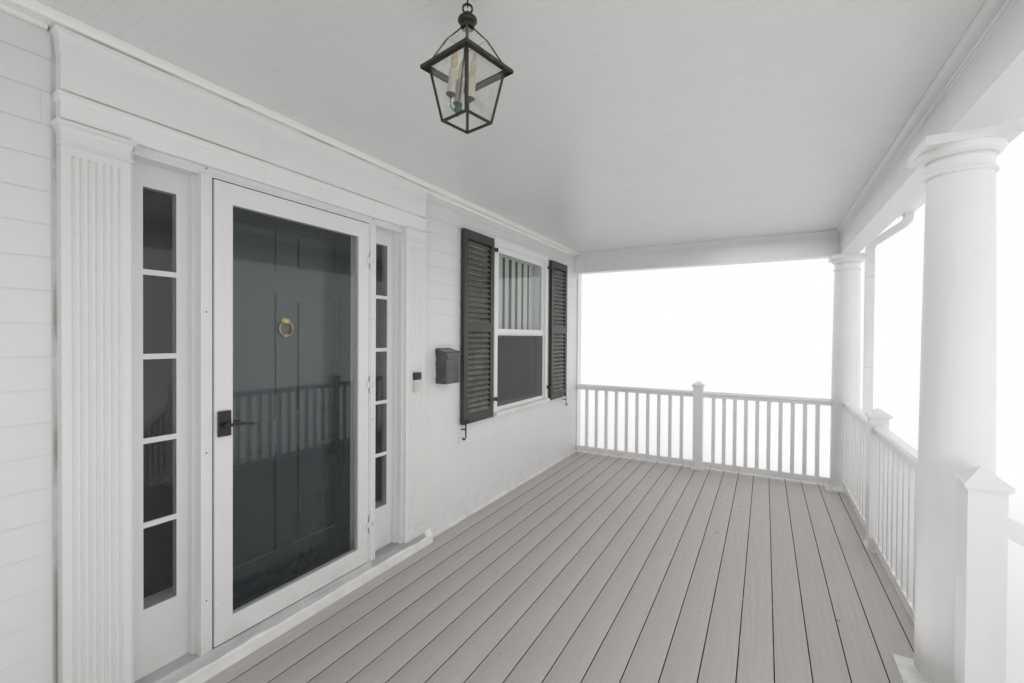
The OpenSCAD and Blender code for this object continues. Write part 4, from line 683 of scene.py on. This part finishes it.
pane_glass = glass_finish("window_pane_glass", (0.90, 0.94, 0.93, 1))
dress(pane_glass, "sidelight_glass", "window_glass")
# A matt black sheet, painted shadow in place of each dark room.
room_shadow_finish, tree, place = new_finish("painted_room_shadow")
coat(tree, tint(tree, cloud(tree, place, 4), (0.010, 0.012, 0.013, 1), (0.030, 0.034, 0.034, 1)), 0.95)
bm = bmesh.new()
side_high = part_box("sidelight_glass")[1]
side_in, side_past, side_foot, side_over = 0.174, 0.056, 0.72, 0.05
side_shadow_y, window_shadow_y = (0.060, 0.075), (0.066, 0.078)
for side in (-1, 1):
    x0, x1 = sorted((side * (side_high.x - side_in), side * (side_high.x + side_past)))
    bar(bm, x0, x1, *side_shadow_y, side_foot, side_high.z + side_over)
window_low, window_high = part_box("window_glass")
pane_half, beyond = 0.456, 0.040
window_mid = window_high.x - pane_half
for side in (-1, 1):
    x0, x1 = side * window_mid - pane_half - beyond, side * window_mid + pane_half + beyond
    bar(bm, x0, x1, *window_shadow_y, window_low.z - beyond, window_high.z + beyond)
make_piece("painted_room_shadow_sheets", bm, room_shadow_finish)


# The storm door is a white aluminium frame round one full pane, hung outside the entry door.
# Its mounting flange is fixed to the posts with small pan-head screws.
# The storm door's white is darker than the trim's: painted shade for the shade under the roof.
storm_finish = paint_finish("storm_door_enamel", (8, 8, 8), (0.73, 0.73, 0.726, 1), 0.32, 0.7, 0.00018,
                            (0.45, 0.43, 0.38, 1), -0.10)
dress(storm_finish, "storm_door")
dress(glass_finish("storm_door_pane", (0.93, 0.96, 0.95, 1)), "storm_door_glass")


def turned(bm, outline, at, steps=24):
    """An outline of (radius, height) points spun about an upright axis through a point."""
    at = Vector(at)
    line = [bm.verts.new(at + Vector((radius, 0, height))) for radius, height in outline]
    edges = [bm.edges.new(pair) for pair in zip(line, line[1:])]
    bmesh.ops.spin(bm, geom=line + edges, cent=at, axis=(0, 0, 1), angle=2 * math.pi, steps=steps, use_merge=True)


def aim(bm, start, matrix):
    """Moves the vertices of a bmesh from number start on."""
    bm.verts.ensure_lookup_table()
    bmesh.ops.transform(bm, matrix=matrix, verts=bm.verts[start:])


screw_finish, tree, place = new_finish("screw_steel")
coat(tree, tint(tree, cloud(tree, place, 90), (0.42, 0.41, 0.39, 1), (0.22, 0.20, 0.18, 1)), 0.42, Metallic=0.9)
bm = bmesh.new()
face_out = Matrix.Rotation(math.radians(90), 4, "X")
flange_x, flange_y, screw_heights = 0.472, -0.1240, (0.93, 1.57, 2.18, 2.795)
pan_head = [(0, 0.0022), (0.0022, 0.0019), (0.0038, 0.0008), (0.0042, 0)]
for side in (-1, 1):
    for height in screw_heights:
        start = len(bm.verts)
        turned(bm, pan_head, (0, 0, 0), 10)
        aim(bm, start, Matrix.Translation((side * flange_x, flange_y, height)) @ face_out)
bmesh.ops.remove_doubles(bm, verts=bm.verts, dist=0.00001)
make_piece("storm_door_screws", bm, screw_finish, round_under=60)

iron_finish, tree, place = new_finish("black_hardware")
rubbed = blotches(tree, place, 30, 0.52, 0.72, detail=5)
coat(tree, tint(tree, times(tree, rubbed, 0.35), (0.016, 0.016, 0.017, 1), (0.10, 0.095, 0.09, 1)),
     between(tree, rubbed, 0, 1, 0.34, 0.6), cloud(tree, place, 220), 0.0002, Specular_IOR_Level=0.55)
dress(iron_finish, "storm_door_lock", "storm_door_lever")


# The entry door behind the glass is a six-panel wooden door in a very dark teal gloss,
# with a brass knob and a brass ring knocker that handling keeps bright.
door_finish, tree, place = new_finish("door_gloss_paint")
paint_out = aged_paint(tree, place, (60, 60, 3), (0.006, 0.028, 0.034, 1), (0.035, 0.045, 0.045, 1), 0.5, 0.7)
ledge = between(tree, facing_up(tree), 0.3, 0.8)
coat(tree, tint(tree, times(tree, ledge, 0.8), paint_out["Colour"], (0.34, 0.37, 0.38, 1)),
     minus(tree, paint_out["Roughness"], 0.12), paint_out["Height"], 0.0005, Coat_Weight=0.4, Coat_Roughness=0.12)
dress(door_finish, "entry_door")
brass_finish, tree, place = new_finish("handled_brass")
tarnish = blotches(tree, place, 38, 0.42, 0.66, detail=5, roughness=0.65)
coat(tree, tint(tree, tarnish, (0.72, 0.50, 0.20, 1), (0.30, 0.20, 0.09, 1)),
     between(tree, tarnish, 0, 1, 0.18, 0.46), cloud(tree, place, 160), 0.00015, Metallic=1.0)
dress(brass_finish, "entry_door_hardware")


# The windows are painted wood: casing and sill on the wall, a lining through it, and two
# sliding sashes. An insect screen covers the lower sash, and slatted blinds hang in the room
# behind the upper one.
dress(upright_paint, "window_frames", "window_sashes")
dress(paint_finish("window_casing_paint", (30, 30, 30), soiling=0.24, foot=1.30), "window_casings")

blind_finish, tree, place = new_finish("blind_vinyl")
blind_shade = cloud(tree, place, 6.0, stretch=(1, 1, 0.1))
coat(tree, tint(tree, blind_shade, (0.88, 0.89, 0.85, 1), (0.78, 0.80, 0.74, 1)), 0.55,
     cloud(tree, place, 40, stretch=(1, 1, 0.1)), 0.0002)
screen_finish, tree, place = new_finish("insect_screen")
slack = cloud(tree, place, 3.0)
coat(tree, tint(tree, slack, (0.110, 0.107, 0.104, 1), (0.140, 0.136, 0.132, 1)), 0.7, slack, 0.0004, Alpha=0.50)
bm_blind, bm_rail, bm_screen, bm_edge = bmesh.new(), bmesh.new(), bmesh.new(), bmesh.new()
slat_count, slat_w, slat_t, slat_pitch, slat_turn = 7, 0.112, 0.0012, 0.132, math.radians(8)
slat_y, slat_shift, most_stray, rail_half, rail_y, rail_edge = 0.020, 0.022, 3, 0.49, (0.0, 0.044), 0.004
screen_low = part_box("window_sashes")[0].z
sash_mid = screen_low + 0.687
slat_low, slat_high = sash_mid - 0.035, window_high.z + 0.012
rail_low, rail_high = window_high.z + 0.010, window_high.z + 0.040
screen_half, mesh_half, screen_y, mesh_t, edge_t = 0.497, 0.482, -0.095, 0.001, 0.007
mesh_low, mesh_high = screen_low + 0.018, sash_mid - 0.018
for side in (-1, 1):
    middle = side * window_mid
    for number in range(slat_count):
        start = len(bm_blind.verts)
        bar(bm_blind, -slat_w / 2, slat_w / 2, -slat_t / 2, slat_t / 2, slat_low, slat_high)
        stray = random.Random(7 * number + side).uniform(-most_stray, most_stray)
        hung = Matrix.Translation((middle + (number - slat_count // 2) * slat_pitch + slat_shift, slat_y, 0))
        aim(bm_blind, start, hung @ Matrix.Rotation(slat_turn + math.radians(stray), 4, "Z"))
    bar(bm_rail, middle - rail_half, middle + rail_half, *rail_y, rail_low, rail_high, rail_edge)
    bar(bm_screen, middle - mesh_half, middle + mesh_half, screen_y - mesh_t / 2, screen_y + mesh_t / 2,
        mesh_low, mesh_high)
    for x0, x1, z0, z1 in ((-screen_half, screen_half, screen_low, mesh_low),
                           (-screen_half, screen_half, mesh_high, sash_mid),
                           (-screen_half, -mesh_half, mesh_low, mesh_high),
                           (mesh_half, screen_half, mesh_low, mesh_high)):
        bar(bm_edge, middle + x0, middle + x1, screen_y - edge_t / 2, screen_y + edge_t / 2, z0, z1, 0.0015, 1)
make_piece("window_blind_slats", bm_blind, blind_finish)
make_piece("window_blind_rails", bm_rail, blind_finish)
make_piece("window_insect_screens", bm_screen, screen_finish)
make_piece("window_screen_frames", bm_edge, storm_finish)


# The shutters are louvred wood in charcoal paint that has chalked on its upper edges, which are also painted paler as
# painted light.
# Iron strap hinges and scrolled holdbacks on spindles keep them on the wall.
shutter_finish, tree, place = new_finish("shutter_paint")
lit_upper_edge = between(tree, facing_up(tree), 0.1, 0.7)
paint_out = aged_paint(tree, place, (8, 60, 60), (0.034, 0.034, 0.031, 1), (0.10, 0.098, 0.085, 1), 0.6, 1.38)
# Paler louvre tops: chalked paint together with painted light from above.
chalk_and_light = times(tree, lit_upper_edge, blotches(tree, place, 11, 0.25, 0.65, 0.35, 0.9, detail=5))
coat(tree, tint(tree, chalk_and_light, paint_out["Colour"], (0.22, 0.210, 0.188, 1)),
     plus(tree, paint_out["Roughness"], times(tree, chalk_and_light, 0.2)), paint_out["Height"], 0.0005)
dress(shutter_finish, "shutters_left", "shutters_right")
dress(iron_finish, "shutter_hardware")


# The mailbox is bent sheet steel in dark grey enamel with a hinged lid, screwed to the wall.
# The bell push has a black housing over a white one, on the face of the right pilaster.
enamel_finish, tree, place = new_finish("mailbox_enamel")
chips = blotches(tree, place, 42, 0.66, 0.70, detail=6, roughness=0.7)
enamel = tint(tree, blotches(tree, place, 9, 0.35, 0.75, detail=4), (0.050, 0.050, 0.050, 1),
              (0.095, 0.094, 0.088, 1))
coat(tree, tint(tree, chips, enamel, (0.20, 0.14, 0.10, 1)), between(tree, chips, 0, 1, 0.40, 0.8),
     cloud(tree, place, 150, detail=2), 0.0003, Coat_Weight=0.25)
dress(enamel_finish, "mailbox", "mailbox_lid")
bell_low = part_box("doorbell")[0]
bell_finish, tree, place = new_finish("bell_housing")
z_at = axes(tree, place)[2]
upper = between(tree, z_at, bell_low.z + 0.0800, bell_low.z + 0.0812)
bell_dust = cloud(tree, place, 55, detail=4)
white_part = tint(tree, bell_dust, (0.66, 0.66, 0.64, 1), (0.52, 0.51, 0.48, 1))
black_part = tint(tree, bell_dust, (0.012, 0.012, 0.013, 1), (0.05, 0.05, 0.05, 1))
coat(tree, tint(tree, upper, white_part, black_part), between(tree, bell_dust, 0.3, 0.7, 0.25, 0.45), bell_dust,
     0.0002)
dress(bell_finish, "doorbell")


# The lantern is soldered brass angle with clear panes, gone dark with green bloom in the
# corners. It hangs from a hook on a short chain, and its candle cluster is bent to one side.
bronze_finish, tree, place = new_finish("lantern_bronze")
bloom = blotches(tree, place, 34, 0.47, 0.66, detail=6, roughness=0.7)
rub = blotches(tree, place, 75, 0.62, 0.74, detail=3)
bronze = tint(tree, times(tree, bloom, 0.75), (0.052, 0.048, 0.028, 1), (0.075, 0.088, 0.058, 1))
coat(tree, tint(tree, times(tree, rub, 0.6), bronze, (0.22, 0.17, 0.08, 1)), between(tree, bloom, 0, 1, 0.42, 0.75),
     cloud(tree, place, 260), 0.0004, Metallic=0.55)
dress(bronze_finish, "lantern_frame", "lantern_chain", "lantern_hook")
dress(glass_finish("lantern_pane", (0.96, 0.97, 0.95, 1), 0.02), "lantern_glass")

frame_low, frame_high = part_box("lantern_frame")
cage_h, cap_t, lantern_x = 0.283, 0.004, -0.413
hang = Matrix.Translation((lantern_x, (frame_low.y + frame_high.y) / 2, frame_low.z + cage_h - cap_t))
cluster_turn, cluster_lean = math.radians(119), math.radians(-6)
hang = hang @ Matrix.Rotation(cluster_turn, 4, "Z") @ Matrix.Rotation(cluster_lean, 4, "Y")
hub, cup, arm_reach, arm_r = -0.249, -0.213, 0.032, 0.0022
sleeve_inner, run_depth, thickest_run = 0.009, 0.004, 0.0016
bm_metal, bm_sleeve, bm_bulb = bmesh.new(), bmesh.new(), bmesh.new()
turned(bm_metal, [(0, -0.0005), (0.0025, -0.0005), (0.0025, hub + 0.020), (0.009, hub + 0.016), (0.013, hub + 0.008),
                  (0.011, hub), (0.0045, hub - 0.004), (0.003, hub - 0.011), (0, hub - 0.014)], (0, 0, 0), 20)
for number in range(3):
    arm_turn = math.radians(45 + 120 * number)
    at = Vector((arm_reach * math.cos(arm_turn), arm_reach * math.sin(arm_turn), cup))
    turned(bm_metal, [(0, -0.009), (0.004, -0.008), (0.0055, -0.004), (0.0135, 0.001), (0.0145, 0.004),
                      (0.0125, 0.0045), (0.011, 0.001), (0, 0.001)], at, 20)
    start = len(bm_metal.verts)
    path = [Vector((0.006, 0, hub + 0.004)), Vector((0.018, 0, hub - 0.002)), Vector((0.028, 0, hub + 0.006)),
            Vector((arm_reach, 0, cup - 0.007))]
    upright = Matrix.Translation(path[0]) @ Matrix.Rotation(math.radians(90), 4, "Y")
    ring = bmesh.ops.create_circle(bm_metal, segments=8, radius=arm_r, matrix=upright)["verts"]
    edges = list({edge for vert in ring for edge in vert.link_edges if edge.other_vert(vert) in ring})
    for here, there in zip(path, path[1:]):
        grown = bmesh.ops.extrude_edge_only(bm_metal, edges=edges)["geom"]
        bmesh.ops.translate(bm_metal, verts=pick(grown, bmesh.types.BMVert), vec=there - here)
        edges = pick(grown, bmesh.types.BMEdge)
    bmesh.ops.holes_fill(bm_metal, edges=bm_metal.edges[:], sides=8)
    aim(bm_metal, start, Matrix.Rotation(arm_turn, 4, "Z"))
    drips = [(0.0, 0.001), (0.0116, 0.001), (0.0120, 0.022), (0.0114, 0.046), (0.0121, 0.066), (0.0114, 0.0735),
             (0.0092, 0.0745), (0.0048, 0.072), (0, 0.072)]
    start = len(bm_sleeve.verts)
    turned(bm_sleeve, drips, at, 24)
    bm_sleeve.verts.ensure_lookup_table()
    for vert in bm_sleeve.verts[start:]:
        side = Vector((vert.co.x - at.x, vert.co.y - at.y, 0))
        if side.length > sleeve_inner:
            angle = math.atan2(side.y, side.x)
            run = max(0.0, value_noise.noise(Vector((3 * math.cos(angle), 3 * math.sin(angle), number * 5.0))))
            vert.co += side.normalized() * min(thickest_run, run * run_depth)
    turned(bm_bulb, [(0, 0.072), (0.0062, 0.073), (0.0068, 0.080), (0.0092, 0.088), (0.0108, 0.098),
                     (0.0098, 0.110), (0.0066, 0.124), (0.0030, 0.135), (0.0008, 0.1395), (0, 0.140)], at, 24)
for bm in (bm_metal, bm_sleeve, bm_bulb):
    bmesh.ops.remove_doubles(bm, verts=bm.verts, dist=0.00002)
    bmesh.ops.transform(bm, matrix=hang, verts=bm.verts)
verdigris_finish, tree, place = new_finish("candle_holder_verdigris")
green = blotches(tree, place, 60, 0.36, 0.62, detail=6, roughness=0.7)
coat(tree, tint(tree, green, (0.085, 0.095, 0.075, 1), (0.10, 0.22, 0.19, 1)), between(tree, green, 0, 1, 0.5, 0.85),
     cloud(tree, place, 300), 0.0005, Metallic=0.3)
wax_finish, tree, place = new_finish("candle_sleeve_wax")
aged = blotches(tree, place, 26, 0.38, 0.68, stretch=(1, 1, 0.3), detail=4)
coat(tree, tint(tree, aged, (0.86, 0.80, 0.72, 1), (0.74, 0.64, 0.52, 1)), 0.5, cloud(tree, place, 90), 0.0006,
     Subsurface_Weight=0.15)
bulb_finish, tree, place = new_finish("flame_bulb_glass")
glow = blotches(tree, place, 18, 0.35, 0.65, detail=2)
coat(tree, tint(tree, glow, (0.95, 0.80, 0.55, 1), (0.95, 0.90, 0.84, 1)), 0.05, cloud(tree, place, 40), 0.0003,
     Transmission_Weight=0.7, IOR=1.45)
make_piece("lantern_candle_holder", bm_metal, verdigris_finish, ["lantern_candles"], "lantern", 50)
make_piece("lantern_candle_sleeves", bm_sleeve, wax_finish, ["lantern_candles"], "lantern", 50)
make_piece("lantern_flame_bulbs", bm_bulb, bulb_finish, ["lantern_candles"], "lantern", 60)


# The stage is a pale level floor under plain soft light: an even white surround, a wide soft
# lamp in front of the porch, one beyond each end, and two panels that lift the shade under the roof.
def seen_directly(tree):
    """1 for what the camera sees, itself or in a mirror or through glass."""
    ray = add(tree, "LightPath").outputs
    return calc(tree, "MAXIMUM", ray["Is Camera Ray"],
                calc(tree, "MAXIMUM", ray["Is Glossy Ray"], ray["Is Transmission Ray"]))


bm = bmesh.new()
bmesh.ops.create_grid(bm, x_segments=1, y_segments=1, size=60)
mesh = bpy.data.meshes.new("studio_floor")
bm.to_mesh(mesh)
bm.free()
floor = bpy.data.objects.new("studio_floor", mesh)
bpy.context.scene.collection.objects.link(floor)
shadow_reach, all_white, surround_light = 5.5, 13.0, 1.08
floor_finish, tree, place = new_finish("studio_floor")
off = add(tree, "VectorMath", {0: place}, operation="LENGTH").outputs["Value"]
shade = add(tree, "BsdfDiffuse", {"Color": (0.80, 0.80, 0.80, 1)})
far_white = add(tree, "Emission", {"Color": (1, 1, 1, 1), "Strength": 1.0})
blend = add(tree, "MixShader", {0: times(tree, seen_directly(tree), between(tree, off, shadow_reach, all_white)),
                                1: shade.outputs[0], 2: far_white.outputs[0]})
tree.links.new(blend.outputs[0], add(tree, "OutputMaterial").inputs[0])
mesh.materials.append(floor_finish)

world = bpy.data.worlds.new("studio_surround")
bpy.context.scene.world = world
world.use_nodes = True
tree = world.node_tree
tree.nodes.clear()
strength = between(tree, seen_directly(tree), 0, 1, surround_light, 1.0)
around = add(tree, "Background", {"Color": (1, 1, 1, 1), "Strength": strength})
tree.links.new(around.outputs[0], add(tree, "OutputWorld").inputs[0])


def soft_lamp(name, at, towards, size, power):
    lamp = bpy.data.lights.new(name, "AREA")
    lamp.shape, lamp.size, lamp.size_y, lamp.energy = "RECTANGLE", size[0], size[1], power
    holder = bpy.data.objects.new(name, lamp)
    holder.visible_camera = holder.visible_glossy = holder.visible_transmission = False
    holder.location = at
    holder.rotation_euler = (Vector(towards) - Vector(at)).to_track_quat("-Z", "Y").to_euler()
    bpy.context.scene.collection.objects.link(holder)


soft_lamp("front_lamp", (1.0, -9.0, 2.4), (0.5, 0, 1.8), (10, 3.6), 20)
soft_lamp("right_lamp", (10.0, -4.0, 2.6), (2, -1.5, 1.6), (5, 3), 60)
soft_lamp("left_lamp", (-10.0, -4.6, 2.0), (3.5, -3.3, 1.6), (2.5, 2.5), 170)
soft_lamp("ceiling_fill", (-0.8, -2.2, 0.66), (-0.8, -1.9, 3), (4.6, 0.9), 17)
soft_lamp("deck_fill", (0.5, -2.1, 3.08), (0.5, -2.2, 0), (6.4, 0.9), 21)

bpy.context.scene.view_settings.view_transform = "Standard"
